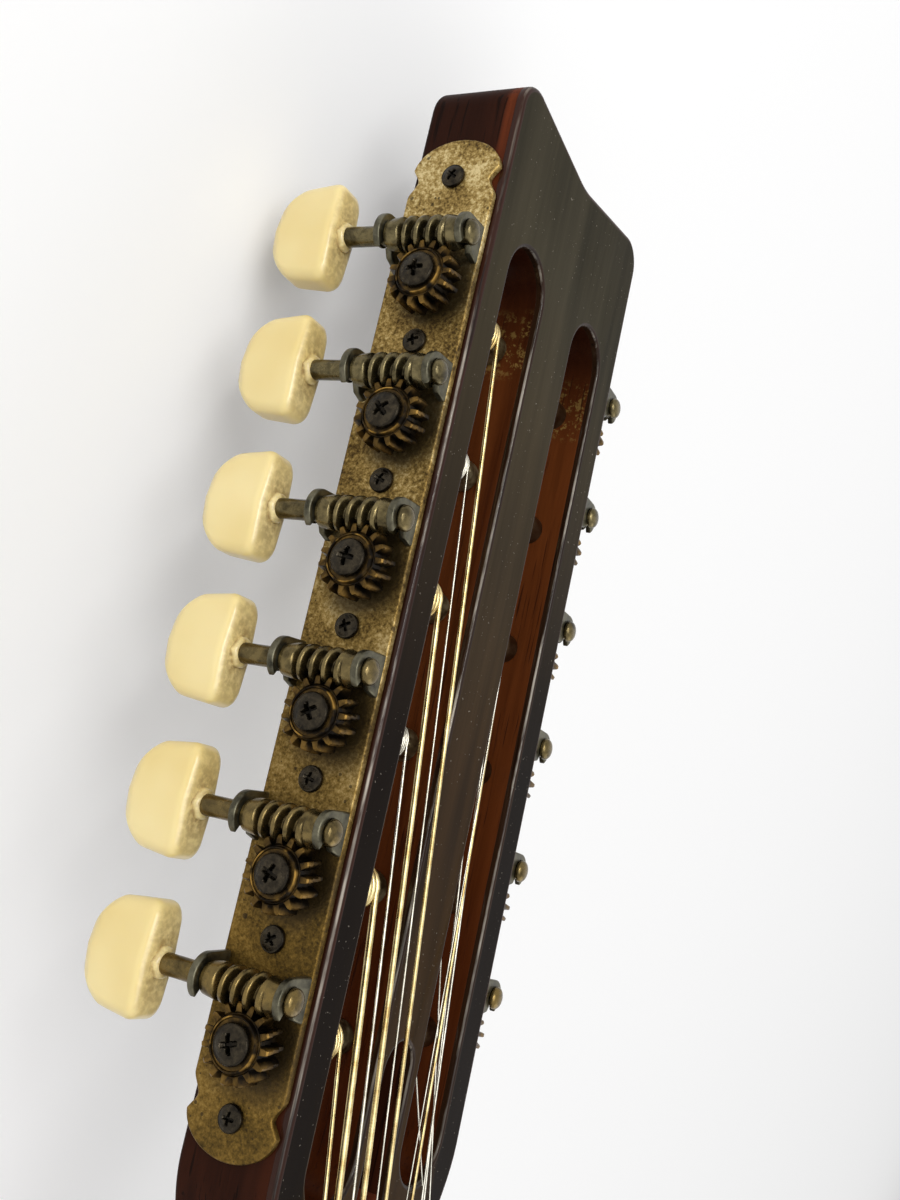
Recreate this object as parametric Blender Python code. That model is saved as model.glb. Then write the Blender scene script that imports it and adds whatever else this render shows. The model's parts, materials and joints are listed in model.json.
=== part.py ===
# Twelve-string acoustic guitar with a slotted head and open worm-and-gear machine heads.
# It lies on its back: +Z comes out of the soundboard, +Y points to the head, +X is the treble side.
# The origin is on the floor, under the middle of the whole outline. Lengths are in metres.
# Run it with: blender --background --python part.py

import math
import bpy
import bmesh
from mathutils import Matrix, Vector

# Clearances
seat_gap = 0.0003
running_gap = 0.0003
string_gap = 0.0003

# Body
body_length = 0.500
upper_half_width = 0.1475
waist_half_width = 0.1375
lower_half_width = 0.2035
upper_bout_place = 0.088
waist_place = 0.205
lower_bout_place = 0.372
shoulder_squareness = 2.6
tail_squareness = 2.25
depth_at_heel = 0.105
depth_at_tail = 0.121
soundboard_thickness = 0.003
back_thickness = 0.003
side_thickness = 0.0024
back_arch = 0.0045
back_flat_half = 0.060
sound_hole_radius = 0.0505
sound_hole_place = 0.147
lining_width = 0.006
lining_height = 0.014
block_half_width = 0.031
neck_block_length = 0.048
tail_block_length = 0.022

# Braces
brace_width = 0.008
x_brace_height = 0.013
x_brace_end_height = 0.005
x_brace_before_saddle = 0.0444
x_brace_spread = math.radians(47)
x_brace_upper_reach = 0.165
x_brace_lower_reach = 0.225
tone_bar_height = 0.009
tone_bars_past_saddle = (0.0526, 0.1026)
tone_bar_lean = math.radians(25)
tone_bar_half_length = 0.075
upper_brace_place = 0.078
upper_brace_width = 0.012
upper_brace_height = 0.013
back_brace_places = (0.075, 0.165, 0.300, 0.410)
back_brace_width = 0.010
back_brace_height = 0.012
brace_end_clearance = 0.012
bridge_plate_thickness = 0.0025
bridge_plate_length = 0.040

# Fingerboard, frets, nut and neck
scale_length = 0.634
fret_count = 20
body_joint_fret = 14
fret_width = 0.0022
fret_crown_width = 0.0010
fret_height = 0.0010
fingerboard_thickness = 0.006
fingerboard_overhang = 0.008
nut_half_width = 0.0240
joint_half_width = 0.0290
nut_thickness = 0.0060
nut_rise_over_string = 0.0006
neck_depth_at_nut = 0.0205
neck_depth_at_heel = 0.0240
heel_length = 0.078
heel_cap_length = 0.012
heel_back_gap = 0.002
tenon_half_width = 0.011
tenon_length = 0.018
tenon_height = 0.060
rod_radius = 0.0025
rod_depth = 0.0052
rod_channel_half_width = 0.0031
rod_channel_depth = 0.0092
rod_nut_radius = 0.0036
rod_nut_length = 0.009
recess_half_width = 0.0050
recess_length = 0.046
recess_depth = 0.0112

# Head
head_tilt = math.radians(14.5)
head_half_width = 0.0315
head_thickness = 0.0189
veneer_thickness = 0.0015
head_flare_length = 0.026
head_seam_place = 0.0016
head_corner = 0.0026
notch_depth = 0.0048
tip_past_first_roller = 0.0435
slot_half_width = 0.0078
slot_centre = 0.0157
slot_past_first_roller = 0.0160
slot_from_nut = 0.0200

# Machine heads
tuners_per_side = 6
tuner_spacing = 0.0254
last_roller_from_nut = 0.0450
gear_depth = 0.0084
gear_teeth = 15
gear_tip_radius = 0.00615
gear_root_radius = 0.00460
gear_thickness = 0.0032
gear_height = 0.0058
tooth_base_share = 0.62
tooth_tip_share = 0.30
hub_radius = 0.0042
hub_rise = 0.0006
gear_screw_radius = 0.0032
gear_screw_rise = 0.0012
roller_radius = 0.0030
roller_end_radius = 0.0024
roller_bearing_length = 0.0040
axle_distance = 0.0079
worm_tip_radius = 0.00300
worm_root_radius = 0.00150
worm_turns = 3.0
thread_base_share = 0.62
thread_top = 0.0039
barrel_radius = 0.0029
journal_radius = 0.0016
rivet_radius = 0.0023
rivet_height = 0.0012
plate_thickness = 0.0012
plate_length = 0.174
plate_width = 0.0178
plate_front_edge = 0.0010
plate_past_first_roller = 0.0290
plate_ear_place = 0.0063
plate_notch_depth = 0.0015
lug_thickness = 0.0013
lug_radius = 0.0033
lug_edge_inset = 0.00015
lug_mouth = math.radians(30)
shaft_past_head = 0.0064
button_length = 0.0140
button_half_width = 0.0092
button_half_thickness = 0.0043
button_squareness = 0.4
collar_radius = 0.0026

# Bridge, saddle, strings and fittings
bridge_half_length = 0.076
bridge_width = 0.036
bridge_height = 0.0085
bridge_wing_height = 0.0035
bridge_wing_length = 0.030
saddle_half_length = 0.037
saddle_thickness = 0.0030
saddle_rise = 0.0032
saddle_seat_depth = 0.0040
pin_hole_radius = 0.0023
pin_row_places = (0.012, 0.0205)
string_over_fret = 0.00045
nut_course_half_spread = 0.0196
saddle_course_half_spread = 0.0265
nut_pair_half_gap = 0.00115
saddle_pair_half_gap = 0.0015
string_diameters = {
    "1a": 0.00025, "1b": 0.00025, "2a": 0.00036, "2b": 0.00036, "3a": 0.00058, "3b": 0.00023,
    "4a": 0.00076, "4b": 0.00030, "5a": 0.00099, "5b": 0.00046, "6a": 0.00119, "6b": 0.00069,
}
wrap_turns = 2
wrap_points_per_turn = 8
wrap_spacing = 0.00045
wrap_start = 0.0136
guard_thickness = 0.0012
guard_inner_radius = 0.0560
guard_outer_radius = 0.0950
pin_base_radius = 0.0070
pin_neck_radius = 0.0045
pin_head_radius = 0.0075
pin_length = 0.0150
pin_shank_radius = 0.0040
pin_shank_length = 0.0180

# Round pieces
round_sides = 10
key_sides = 8

# Worked out from the values above
wood_top = -veneer_thickness - seat_gap
wood_thickness = head_thickness + wood_top
nut_front = scale_length * (1 - 2 ** (-body_joint_fret / 12))
bend_place = nut_front + nut_thickness
saddle_place = nut_front - scale_length
x_brace_crossing = -saddle_place - x_brace_before_saddle
tone_bar_places = [-saddle_place + past for past in tone_bars_past_saddle]
fingerboard_top = seat_gap + fingerboard_thickness
fret_top = fingerboard_top + fret_height
nut_string_bottom = fret_top + string_over_fret
saddle_top = bridge_height + saddle_rise
saddle_string_bottom = saddle_top + string_gap
face_at_bend = veneer_thickness + seat_gap
first_roller_from_nut = last_roller_from_nut + (tuners_per_side - 1) * tuner_spacing
head_length = first_roller_from_nut + tip_past_first_roller
slot_tip_end = first_roller_from_nut + slot_past_first_roller
plate_base = head_half_width + seat_gap
plate_top = plate_base + plate_thickness
worm_height = head_half_width + gear_height
gear_pitch_radius = axle_distance - (worm_tip_radius + worm_root_radius) / 2
thread_lead = 2 * math.pi * gear_pitch_radius / gear_teeth
lead_angle = math.atan(thread_lead / (math.pi * (worm_tip_radius + worm_root_radius)))
back_slope = math.atan((depth_at_tail - depth_at_heel) / body_length)
head_frame = Matrix.Translation((0, bend_place, face_at_bend)) @ Matrix.Rotation(-head_tilt, 4, "X")


# Materials

def material(name, colour, roughness, metallic=0.0):
    made = bpy.data.materials.new(name)
    made.use_nodes = True
    shader = made.node_tree.nodes["Principled BSDF"]
    shader.inputs["Base Color"].default_value = (*colour, 1)
    shader.inputs["Roughness"].default_value = roughness
    shader.inputs["Metallic"].default_value = metallic
    made.diffuse_color = (*colour, 1)
    return made


finishes = {
    "mahogany": ((0.115, 0.028, 0.012), 0.35, 0.0),
    "dark_veneer": ((0.022, 0.009, 0.005), 0.25, 0.0),
    "rosewood": ((0.045, 0.018, 0.010), 0.45, 0.0),
    "spruce": ((0.62, 0.33, 0.11), 0.35, 0.0),
    "bare_spruce": ((0.66, 0.46, 0.26), 0.70, 0.0),
    "ivory_plastic": ((0.78, 0.68, 0.38), 0.35, 0.0),
    "bone": ((0.48, 0.33, 0.12), 0.45, 0.0),
    "aged_brass": ((0.33, 0.27, 0.13), 0.45, 0.9),
    "nickel": ((0.42, 0.39, 0.31), 0.40, 0.9),
    "grey_steel": ((0.17, 0.16, 0.13), 0.42, 0.9),
    "dark_shell": ((0.015, 0.008, 0.006), 0.20, 0.0),
    "bronze_wire": ((0.62, 0.46, 0.20), 0.35, 0.9),
    "plain_wire": ((0.50, 0.49, 0.46), 0.30, 1.0),
}


# Mesh helpers

def finish_object(name, builder, finish, smooth=True):
    # Puts a bmesh into a named object with its own material, facing out, in the guitar's frame
    bmesh.ops.recalc_face_normals(builder, faces=builder.faces)
    mesh = bpy.data.meshes.new(name)
    builder.to_mesh(mesh)
    builder.free()
    return object_from_mesh(name, mesh, finish, smooth)


def object_from_mesh(name, mesh, finish, smooth=True):
    made = bpy.data.objects.new(name, mesh)
    bpy.context.scene.collection.objects.link(made)
    if not mesh.materials:
        mesh.materials.append(None)
    made.material_slots[0].link = "OBJECT"
    made.material_slots[0].material = material(name + "_finish", *finishes[finish])
    if smooth:
        mesh.shade_smooth()
        mesh.set_sharp_from_angle(angle=math.radians(35))
    made.parent = guitar
    return made


def bridge_rings(builder, rings, cap_ends=True):
    # Joins rings of equal count with quads and closes both ends
    placed = [[builder.verts.new(point) for point in ring] for ring in rings]
    for lower, upper in zip(placed, placed[1:]):
        count = len(lower)
        for i in range(count):
            j = (i + 1) % count
            builder.faces.new((lower[i], lower[j], upper[j], upper[i]))
    if cap_ends:
        builder.faces.new(placed[0])
        builder.faces.new(placed[-1])
    return placed


def loft(name, rings, finish, smooth=True):
    builder = bmesh.new()
    bridge_rings(builder, rings)
    return finish_object(name, builder, finish, smooth)


def prism(name, outline, top, bottom, finish, smooth=False):
    # A flat outline given thickness: top and bottom are heights as functions of x and y
    upper = [(x, y, top(x, y)) for x, y in outline]
    lower = [(x, y, bottom(x, y)) for x, y in outline]
    return loft(name, [lower, upper], finish, smooth)


def level(height):
    return lambda x, y: height


def circle(radius, sides, turn=0.0):
    steps = [turn + 2 * math.pi * i / sides for i in range(sides)]
    return [(radius * math.cos(a), radius * math.sin(a)) for a in steps]


def as_cutter(cutter):
    cutter.hide_render = True
    cutter.display_type = "WIRE"
    return cutter


def boolean(target, other, operation):
    modifier = target.modifiers.new(operation.title() + "_" + other.name, "BOOLEAN")
    modifier.operation = operation
    modifier.solver = "EXACT"
    modifier.object = other
    as_cutter(other)


def in_head(points):
    return [head_frame @ Vector(point) for point in points]


# Body outline

def right_outline():
    # Half outline from the neck joint round the treble side to the tail
    points = []
    steps = 8
    for i in range(steps + 1):
        turn = math.pi / 2 * (1 - i / steps)
        across = upper_half_width * math.cos(turn) ** (2 / shoulder_squareness) if i else 0.0
        along = upper_bout_place * math.sin(turn) ** (2 / shoulder_squareness) if i < steps else 0.0
        points.append((across, -upper_bout_place + along))
    stretches = (
        (upper_bout_place, waist_place, upper_half_width, waist_half_width, 3),
        (waist_place, lower_bout_place, waist_half_width, lower_half_width, 6),
    )
    for start, end, width_a, width_b, count in stretches:
        for i in range(1, count + 1):
            share = i / count
            ease = (1 - math.cos(math.pi * share)) / 2
            points.append((width_a + (width_b - width_a) * ease, -(start + (end - start) * share)))
    tail_reach = body_length - lower_bout_place
    for i in range(1, steps + 1):
        turn = math.pi / 2 * i / steps
        across = lower_half_width * math.cos(turn) ** (2 / tail_squareness) if i < steps else 0.0
        points.append((across, -lower_bout_place - tail_reach * math.sin(turn) ** (2 / tail_squareness)))
    return points


def body_outline(inset=0.0):
    half = right_outline()
    whole = half + [(-x, y) for x, y in reversed(half[1:-1])]
    moved = []
    for i, (x, y) in enumerate(whole):
        ahead = whole[(i + 1) % len(whole)]
        behind = whole[i - 1]
        along = Vector((ahead[0] - behind[0], ahead[1] - behind[1])).normalized()
        moved.append((x + along.y * inset, y - along.x * inset))
    return moved


def half_line(inset, least_x):
    # The treble half of an inset outline, clipped where it comes nearer than least_x to the middle
    half = body_outline(inset)[: len(right_outline())]
    clipped = []
    for (xa, ya), (xb, yb) in zip(half, half[1:]):
        if xa >= least_x:
            clipped.append((xa, ya))
        if (xa - least_x) * (xb - least_x) < 0:
            share = (least_x - xa) / (xb - xa)
            clipped.append((least_x, ya + (yb - ya) * share))
    return clipped


def back_under(x, y):
    depth = depth_at_heel + (depth_at_tail - depth_at_heel) * (-y / body_length)
    past_flat = max(0.0, abs(x) - back_flat_half) / (lower_half_width - back_flat_half)
    return -depth + back_arch * past_flat ** 2


def back_inside(x, y):
    return back_under(x, y) + back_thickness


def floor_of_rim(x, y):
    return back_inside(x, y) + seat_gap


soundboard_under = -soundboard_thickness
rim_top = soundboard_under - seat_gap
inner_inset = side_thickness + seat_gap


# Body pieces

def build_soundboard():
    board = prism("soundboard", body_outline(), level(0), level(soundboard_under), "spruce")
    ring = circle(sound_hole_radius, 32)
    hole = prism("sound_hole_cutter", [(x, y - sound_hole_place) for x, y in ring],
                 level(0.01), level(-0.02), "spruce")
    boolean(board, hole, "DIFFERENCE")


def build_back():
    # Rings drawn in towards the middle, so the arched sheet and its flat middle are one closed body
    middle = Vector((0, -body_length / 2))
    ring_shares = (1.0, 0.66, 0.28)
    builder = bmesh.new()
    outside = []
    inside = []
    for share in ring_shares:
        ring = [middle + (Vector(point) - middle) * share for point in body_outline()]
        outside.append([(x, y, back_under(x, y)) for x, y in ring])
        inside.append([(x, y, back_inside(x, y)) for x, y in ring])
    bridge_rings(builder, list(reversed(outside)) + inside)
    back = finish_object("back", builder, "mahogany")
    for number, place in enumerate(back_brace_places):
        bar = back_brace(number, place)
        boolean(back, bar, "UNION")


def inner_half_width(place):
    # Half width of the hollow at a distance down the body
    half = body_outline(inner_inset)[: len(right_outline())]
    for (xa, ya), (xb, yb) in zip(half, half[1:]):
        if yb <= -place <= ya:
            return xa + (xb - xa) * (-place - ya) / (yb - ya)
    return 0.0


def back_brace(number, place):
    reach = inner_half_width(place) - lining_width - brace_end_clearance
    rings = []
    for share in (-1.0, -0.8, -0.3, 0.3, 0.8, 1.0):
        x = share * reach
        y = -place
        base = back_inside(x, y) - back_thickness / 3
        height = back_brace_height * (0.45 if abs(share) == 1.0 else 1.0)
        half = back_brace_width / 2
        crown = base + height + back_thickness / 3
        rings.append([(x, y - half, base), (x, y + half, base),
                      (x, y + half * 0.4, crown), (x, y - half * 0.4, crown)])
    return loft(f"back_brace_{number + 1}_body", rings, "bare_spruce", False)


def build_sides():
    # A bent wall: outer and inner outline, its lower edge following the arched back
    outer = body_outline()
    inner = body_outline(side_thickness)
    rings = [
        [(x, y, floor_of_rim(x, y)) for x, y in outer],
        [(x, y, rim_top) for x, y in outer],
        [(x, y, rim_top) for x, y in inner],
        [(x, y, floor_of_rim(x, y)) for x, y in inner],
    ]
    builder = bmesh.new()
    placed = bridge_rings(builder, rings, cap_ends=False)
    count = len(outer)
    for i in range(count):
        j = (i + 1) % count
        builder.faces.new((placed[3][i], placed[3][j], placed[0][j], placed[0][i]))
    sides = finish_object("sides", builder, "mahogany")
    boolean(sides, tenon_cutter("tenon_way_in_sides"), "DIFFERENCE")
    boolean(sides, pin_hole_cutter("pin_way_in_sides"), "DIFFERENCE")


def box_rings(x_range, y_range, z_range):
    xa, xb = x_range
    ya, yb = y_range
    corners = [(xa, ya), (xb, ya), (xb, yb), (xa, yb)]
    return [[(x, y, z) for x, y in corners] for z in z_range]


tenon_top = rim_top - 0.004


def tenon_cutter(name):
    half = tenon_half_width + seat_gap
    return as_cutter(loft(name, box_rings(
        (-half, half),
        (-side_thickness - tenon_length - seat_gap, 0.004),
        (tenon_top - tenon_height - seat_gap, tenon_top + seat_gap)), "mahogany", False))


pin_axis_height = -depth_at_tail * 0.52


def pin_hole_cutter(name):
    ring = circle(pin_shank_radius + seat_gap, round_sides)
    far = -body_length + side_thickness + pin_shank_length + 0.002
    rings = [[(x, y, pin_axis_height + z) for x, z in ring] for y in (-body_length - 0.004, far)]
    return as_cutter(loft(name, rings, "mahogany"))


def build_linings():
    # One strip in each corner of the rim, between the two end blocks
    least = block_half_width + 2 * seat_gap
    for side, side_name in ((1, "treble"), (-1, "bass")):
        outer = half_line(inner_inset, least)
        inner = half_line(inner_inset + lining_width, least)
        count = min(len(outer), len(inner))
        top_rings = []
        back_rings = []
        for (xo, yo), (xi, yi) in zip(outer[:count], inner[:count]):
            xo, xi = side * xo, side * xi
            top_rings.append([(xo, yo, rim_top), (xi, yi, rim_top),
                              (xi, yi, rim_top - lining_height * 0.45), (xo, yo, rim_top - lining_height)])
            low_o = floor_of_rim(xo, yo)
            low_i = floor_of_rim(xi, yi)
            back_rings.append([(xo, yo, low_o), (xi, yi, low_i),
                               (xi, yi, low_i + lining_height * 0.45), (xo, yo, low_o + lining_height)])
        loft("top_lining_" + side_name, top_rings, "bare_spruce", False)
        loft("back_lining_" + side_name, back_rings, "bare_spruce", False)


def block_outline(front_is_neck, length):
    # Follows the inside of the rim at the middle, with a straight inner face
    ring = [point for point in body_outline(inner_inset) if abs(point[0]) < block_half_width]
    near_neck = [point for point in ring if (point[1] > -body_length / 2) == front_is_neck]
    near_neck.sort()
    ends = half_line(inner_inset, block_half_width)
    corner = ends[0] if front_is_neck else ends[-1]
    face = [(-corner[0], corner[1])] + near_neck + [corner]
    step_in = -length if front_is_neck else length
    edge = (0 - inner_inset if front_is_neck else -body_length + inner_inset) + step_in
    return face + [(block_half_width, edge), (-block_half_width, edge)]


def build_blocks():
    neck_block = prism("neck_block", block_outline(True, neck_block_length), level(rim_top),
                       floor_of_rim, "mahogany")
    boolean(neck_block, tenon_cutter("mortise_cutter"), "DIFFERENCE")
    tail_block = prism("tail_block", block_outline(False, tail_block_length), level(rim_top),
                       floor_of_rim, "mahogany")
    boolean(tail_block, pin_hole_cutter("pin_way_in_block"), "DIFFERENCE")


def bar_rings(start, end, heights, width, base):
    # Sections of a brace under the soundboard, from one end to the other, highest where heights says
    start, end = Vector(start), Vector(end)
    across = Vector((start.y - end.y, end.x - start.x)).normalized() * width / 2
    rings = []
    for share, height in heights:
        spot = start + (end - start) * share
        crown = across * 0.45
        rings.append([
            (spot.x + across.x, spot.y + across.y, base), (spot.x - across.x, spot.y - across.y, base),
            (spot.x - crown.x, spot.y - crown.y, base - height),
            (spot.x + crown.x, spot.y + crown.y, base - height)])
    return rings


def x_leg_half_width(place):
    return abs(place - x_brace_crossing) * math.tan(x_brace_spread)


def build_braces():
    crossing = Vector((0, -x_brace_crossing))
    legs = []
    for side in (1, -1):
        along = Vector((side * math.sin(x_brace_spread), math.cos(x_brace_spread)))
        start = crossing + along * x_brace_upper_reach
        end = crossing - along * x_brace_lower_reach
        middle = x_brace_upper_reach / (x_brace_upper_reach + x_brace_lower_reach)
        heights = ((0, x_brace_end_height), (0.15, x_brace_height * 0.8), (middle, x_brace_height),
                   (0.75, x_brace_height * 0.8), (1, x_brace_end_height))
        legs.append((start, end, heights))
    brace = loft("x_brace", bar_rings(*legs[0], brace_width, rim_top), "bare_spruce", False)
    other = loft("x_brace_other_leg", bar_rings(*legs[1], brace_width, rim_top - 0.0001), "bare_spruce", False)
    boolean(brace, other, "UNION")
    for number, place in enumerate(tone_bar_places):
        # A tone bar starts inside the bass leg of the X and runs down towards the treble side
        start = Vector((-x_leg_half_width(place), -place))
        along = Vector((math.cos(tone_bar_lean), -math.sin(tone_bar_lean)))
        heights = ((0, tone_bar_height * 0.8), (0.5, tone_bar_height), (1, x_brace_end_height * 0.8))
        reach = 2 * tone_bar_half_length * (1.0 if number == 0 else 0.9)
        bar = loft(f"tone_bar_{number + 1}_body",
                   bar_rings(start, start + along * reach, heights, brace_width * 0.8, rim_top - 0.0002),
                   "bare_spruce", False)
        boolean(brace, bar, "UNION")
    reach = inner_half_width(upper_brace_place) - lining_width - brace_end_clearance
    heights = ((0, x_brace_end_height), (0.2, upper_brace_height), (0.8, upper_brace_height),
               (1, x_brace_end_height))
    loft("upper_brace", bar_rings((-reach, -upper_brace_place), (reach, -upper_brace_place), heights,
                                  upper_brace_width, rim_top), "bare_spruce", False)
    front = -saddle_place - bridge_plate_length * 0.38
    rear = front + bridge_plate_length
    spare = brace_width
    corners = [(-x_leg_half_width(rear) + spare, -rear), (x_leg_half_width(rear) - spare, -rear),
               (x_leg_half_width(front) - spare, -front), (-x_leg_half_width(front) + spare, -front)]
    prism("bridge_plate", corners, level(rim_top), level(rim_top - bridge_plate_thickness), "rosewood")


def build_pickguard():
    # A drop shape round the treble side of the sound hole
    def ring_point(radius, degrees):
        turn = math.radians(degrees)
        return (radius * math.cos(turn), -sound_hole_place + radius * math.sin(turn))
    inner = [ring_point(guard_inner_radius, angle) for angle in range(32, -87, -9)]
    outer = []
    for step in range(9):
        share = step / 8
        radius = guard_inner_radius + 0.006 + (guard_outer_radius - guard_inner_radius) * math.sin(
            math.pi * min(1.0, share * 1.15) * 0.62) ** 0.8
        outer.append(ring_point(radius, -84 + 112 * share))
    prism("pickguard", inner + outer, level(seat_gap + guard_thickness), level(seat_gap), "dark_shell")


def turned_rings(profile, sides, place):
    # Rings of a turned piece: profile holds (radius, distance along the axis)
    rings = []
    for radius, along in profile:
        rings.append([place(a, b, along) for a, b in circle(radius, sides)])
    return rings


def build_end_pin():
    start = -body_length - seat_gap
    inside = -start - side_thickness - pin_shank_length
    profile = [
        (pin_shank_radius * 0.85, inside), (pin_shank_radius, inside + 0.003),
        (pin_shank_radius, -start), (pin_base_radius, -start), (pin_base_radius, -start + 0.0025),
        (pin_neck_radius, -start + 0.0055), (pin_neck_radius, -start + 0.0085),
        (pin_head_radius, -start + 0.0110), (pin_head_radius, -start + pin_length - 0.001),
        (pin_head_radius * 0.8, -start + pin_length),
    ]
    rings = turned_rings(profile, round_sides, lambda a, b, along: (a, -along, pin_axis_height + b))
    loft("end_pin", rings, "ivory_plastic")


# Neck, fingerboard and head

def board_half_width(y):
    share = (nut_front - y) / nut_front
    return nut_half_width + (joint_half_width - nut_half_width) * share


def neck_section(half, depth, flatness):
    # D-shaped section: a straight top edge and a round back, flattened where a heel ends
    ring = []
    for i in range(13):
        turn = math.pi * i / 12
        down = min(1.0, math.sin(turn) * flatness)
        ring.append((-half * math.cos(turn), -depth * down))
    ring.append((0.0, 0.0))
    return ring


def head_section(half, thickness):
    # Rounded rectangle with as many points as a neck section
    r = head_corner
    quarter = [(half, 0), (half, -thickness * 0.4), (half, -thickness + r), (half - r * 0.3, -thickness + r * 0.3),
               (half - r, -thickness), (half * 0.35, -thickness)]
    left = [(-x, z) for x, z in quarter]
    right = list(reversed(quarter))
    return left + [(0.0, -thickness)] + right + [(0.0, 0.0)]


def head_half_at(along):
    share = max(0.0, min(1.0, along / head_flare_length))
    ease = (1 - math.cos(math.pi * share)) / 2
    return nut_half_width + (head_half_width - nut_half_width) * ease


def tip_at(x, half):
    # The head ends in a shallow V, lowest in the middle
    return head_length - notch_depth * (1 - abs(x) / half)


def build_neck():
    rings = []
    heel_bottom = -back_under(0, 0) - heel_back_gap
    cap_share = heel_cap_length / heel_length
    for share in (0.0, cap_share, 0.22, 0.32, 0.45, 0.62, 0.80, 1.0):
        y = seat_gap + heel_length * share
        fall = max(0.0, (share - cap_share) / (1 - cap_share))
        sweep = (1 - fall) ** 2.6
        depth = neck_depth_at_heel + (heel_bottom - neck_depth_at_heel) * sweep
        ring = neck_section(board_half_width(y), depth, 1 + 0.15 * sweep)
        rings.append([Vector((x, y, z)) for x, z in ring])
    for share in (0.5, 1.0):
        y = seat_gap + heel_length + (nut_front - heel_length - seat_gap) * share
        depth = neck_depth_at_heel + (neck_depth_at_nut - neck_depth_at_heel) * share
        rings.append([Vector((x, y, z)) for x, z in neck_section(board_half_width(y), depth, 1.0)])
    rings.append(head_ring(head_seam_place))
    neck = loft("neck", rings, "mahogany")
    tenon = loft("tenon_body", box_rings(
        (-tenon_half_width, tenon_half_width), (-side_thickness - tenon_length, 0.004),
        (tenon_top - tenon_height, tenon_top)), "mahogany", False)
    boolean(neck, tenon, "UNION")
    boolean(neck, recess_cutter(), "DIFFERENCE")
    boolean(neck, rod_channel_cutter(), "DIFFERENCE")


def head_ring(place):
    # A section of the head, as round as the neck at the nut and flat from half the flare on
    half = head_half_at(place)
    flat = head_section(half, wood_thickness)
    share = place / head_flare_length
    if share < 0.5:
        blend = (0.5 - share) / 0.5
        rounded = neck_section(half, neck_depth_at_nut * 0.95, 1.0)
        flat = [(x + (rx - x) * blend, z + (rz - z) * blend) for (x, z), (rx, rz) in zip(flat, rounded)]
    return in_head([(x, place, wood_top + z) for x, z in flat])


def build_head():
    rings = [head_ring(head_seam_place + seat_gap)]
    for share in (0.22, 0.42, 0.62, 0.82, 1.0):
        rings.append(head_ring(share * head_flare_length))
    for back_off, narrow in ((0.0035, 0.0), (0.0010, 0.0010), (0.0, 0.0026)):
        half = head_half_width - narrow
        ring = head_section(half, wood_thickness)
        rings.append(in_head([(x, tip_at(x, half) - back_off, wood_top + z) for x, z in ring]))
    builder = bmesh.new()
    placed = bridge_rings(builder, rings, cap_ends=False)
    builder.faces.new(placed[0])
    builder.faces.new(placed[-1][:7] + [placed[-1][13]])
    builder.faces.new(placed[-1][6:13] + [placed[-1][13]])
    head = finish_object("head", builder, "mahogany")
    boolean(head, slot_cutters(), "DIFFERENCE")
    boolean(head, bpy.data.objects["rod_recess_cutter"], "DIFFERENCE")
    boolean(head, bpy.data.objects["rod_channel_cutter"], "DIFFERENCE")
    boolean(head, roller_hole_cutters(), "DIFFERENCE")


def slot_cutters():
    builder = bmesh.new()
    for side in (1, -1):
        outline = []
        for i in range(9):
            turn = math.pi * i / 8
            outline.append((slot_half_width * math.cos(turn),
                            slot_tip_end - slot_half_width + slot_half_width * math.sin(turn)))
        for i in range(9):
            turn = math.pi + math.pi * i / 8
            outline.append((slot_half_width * math.cos(turn),
                            slot_from_nut + slot_half_width + slot_half_width * math.sin(turn)))
        rings = [in_head([(side * slot_centre + x, y, z) for x, y in outline])
                 for z in (-head_thickness - 0.01, 0.01)]
        bridge_rings(builder, rings)
    return as_cutter(finish_object("head_slot_cutter", builder, "mahogany", False))


def recess_cutter():
    outline = [(recess_half_width, -0.0005), (-recess_half_width, -0.0005)]
    for i in range(7):
        turn = math.pi - math.pi * i / 6
        outline.append((recess_half_width * math.cos(turn),
                        recess_length - recess_half_width + recess_half_width * math.sin(turn)))
    rings = [in_head([(x, y, z) for x, y in outline]) for z in (-recess_depth, 0.01)]
    return as_cutter(loft("rod_recess_cutter", rings, "mahogany", False))


rod_start = 0.022
rod_end = bend_place + 0.001


def rod_channel_cutter():
    half = rod_channel_half_width
    return as_cutter(loft("rod_channel_cutter", box_rings(
        (-half, half), (rod_start - 0.001, bend_place + 0.003),
        (-rod_channel_depth, 0.005)), "mahogany", False))


def build_truss_rod():
    long_ring = circle(rod_radius, key_sides)
    nut_ring = circle(rod_nut_radius, key_sides)
    rings = []
    stations = ((rod_start, long_ring), (rod_end, long_ring), (rod_end, nut_ring),
                (rod_end + rod_nut_length, nut_ring))
    for y, ring in stations:
        rings.append([(x, y, -rod_depth + z) for x, z in ring])
    loft("truss_rod", rings, "grey_steel")


def roller_places():
    return [first_roller_from_nut - tuner_spacing * i for i in range(tuners_per_side)]


def hole_round(radius):
    # Corner radius of a flat-sided hole that a round piece of this radius turns in
    return (radius + running_gap) / math.cos(math.pi / key_sides)


def roller_hole_cutters():
    # Each hole goes through the side wall and slot into the middle rib, wide outside and narrow inside
    builder = bmesh.new()
    rib_edge = slot_centre - slot_half_width
    wide = hole_round(roller_radius)
    narrow = hole_round(roller_end_radius)
    stations = ((narrow, rib_edge - roller_bearing_length - running_gap), (narrow, rib_edge + 0.002),
                (wide, rib_edge + 0.002), (wide, head_half_width + 0.002))
    for side in (1, -1):
        for place in roller_places():
            rings = []
            for radius, out in stations:
                rings.append(in_head([(side * out, place + a, -gear_depth + b)
                                      for a, b in circle(radius, key_sides)]))
            bridge_rings(builder, rings)
    return as_cutter(finish_object("roller_hole_cutter", builder, "mahogany"))


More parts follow.
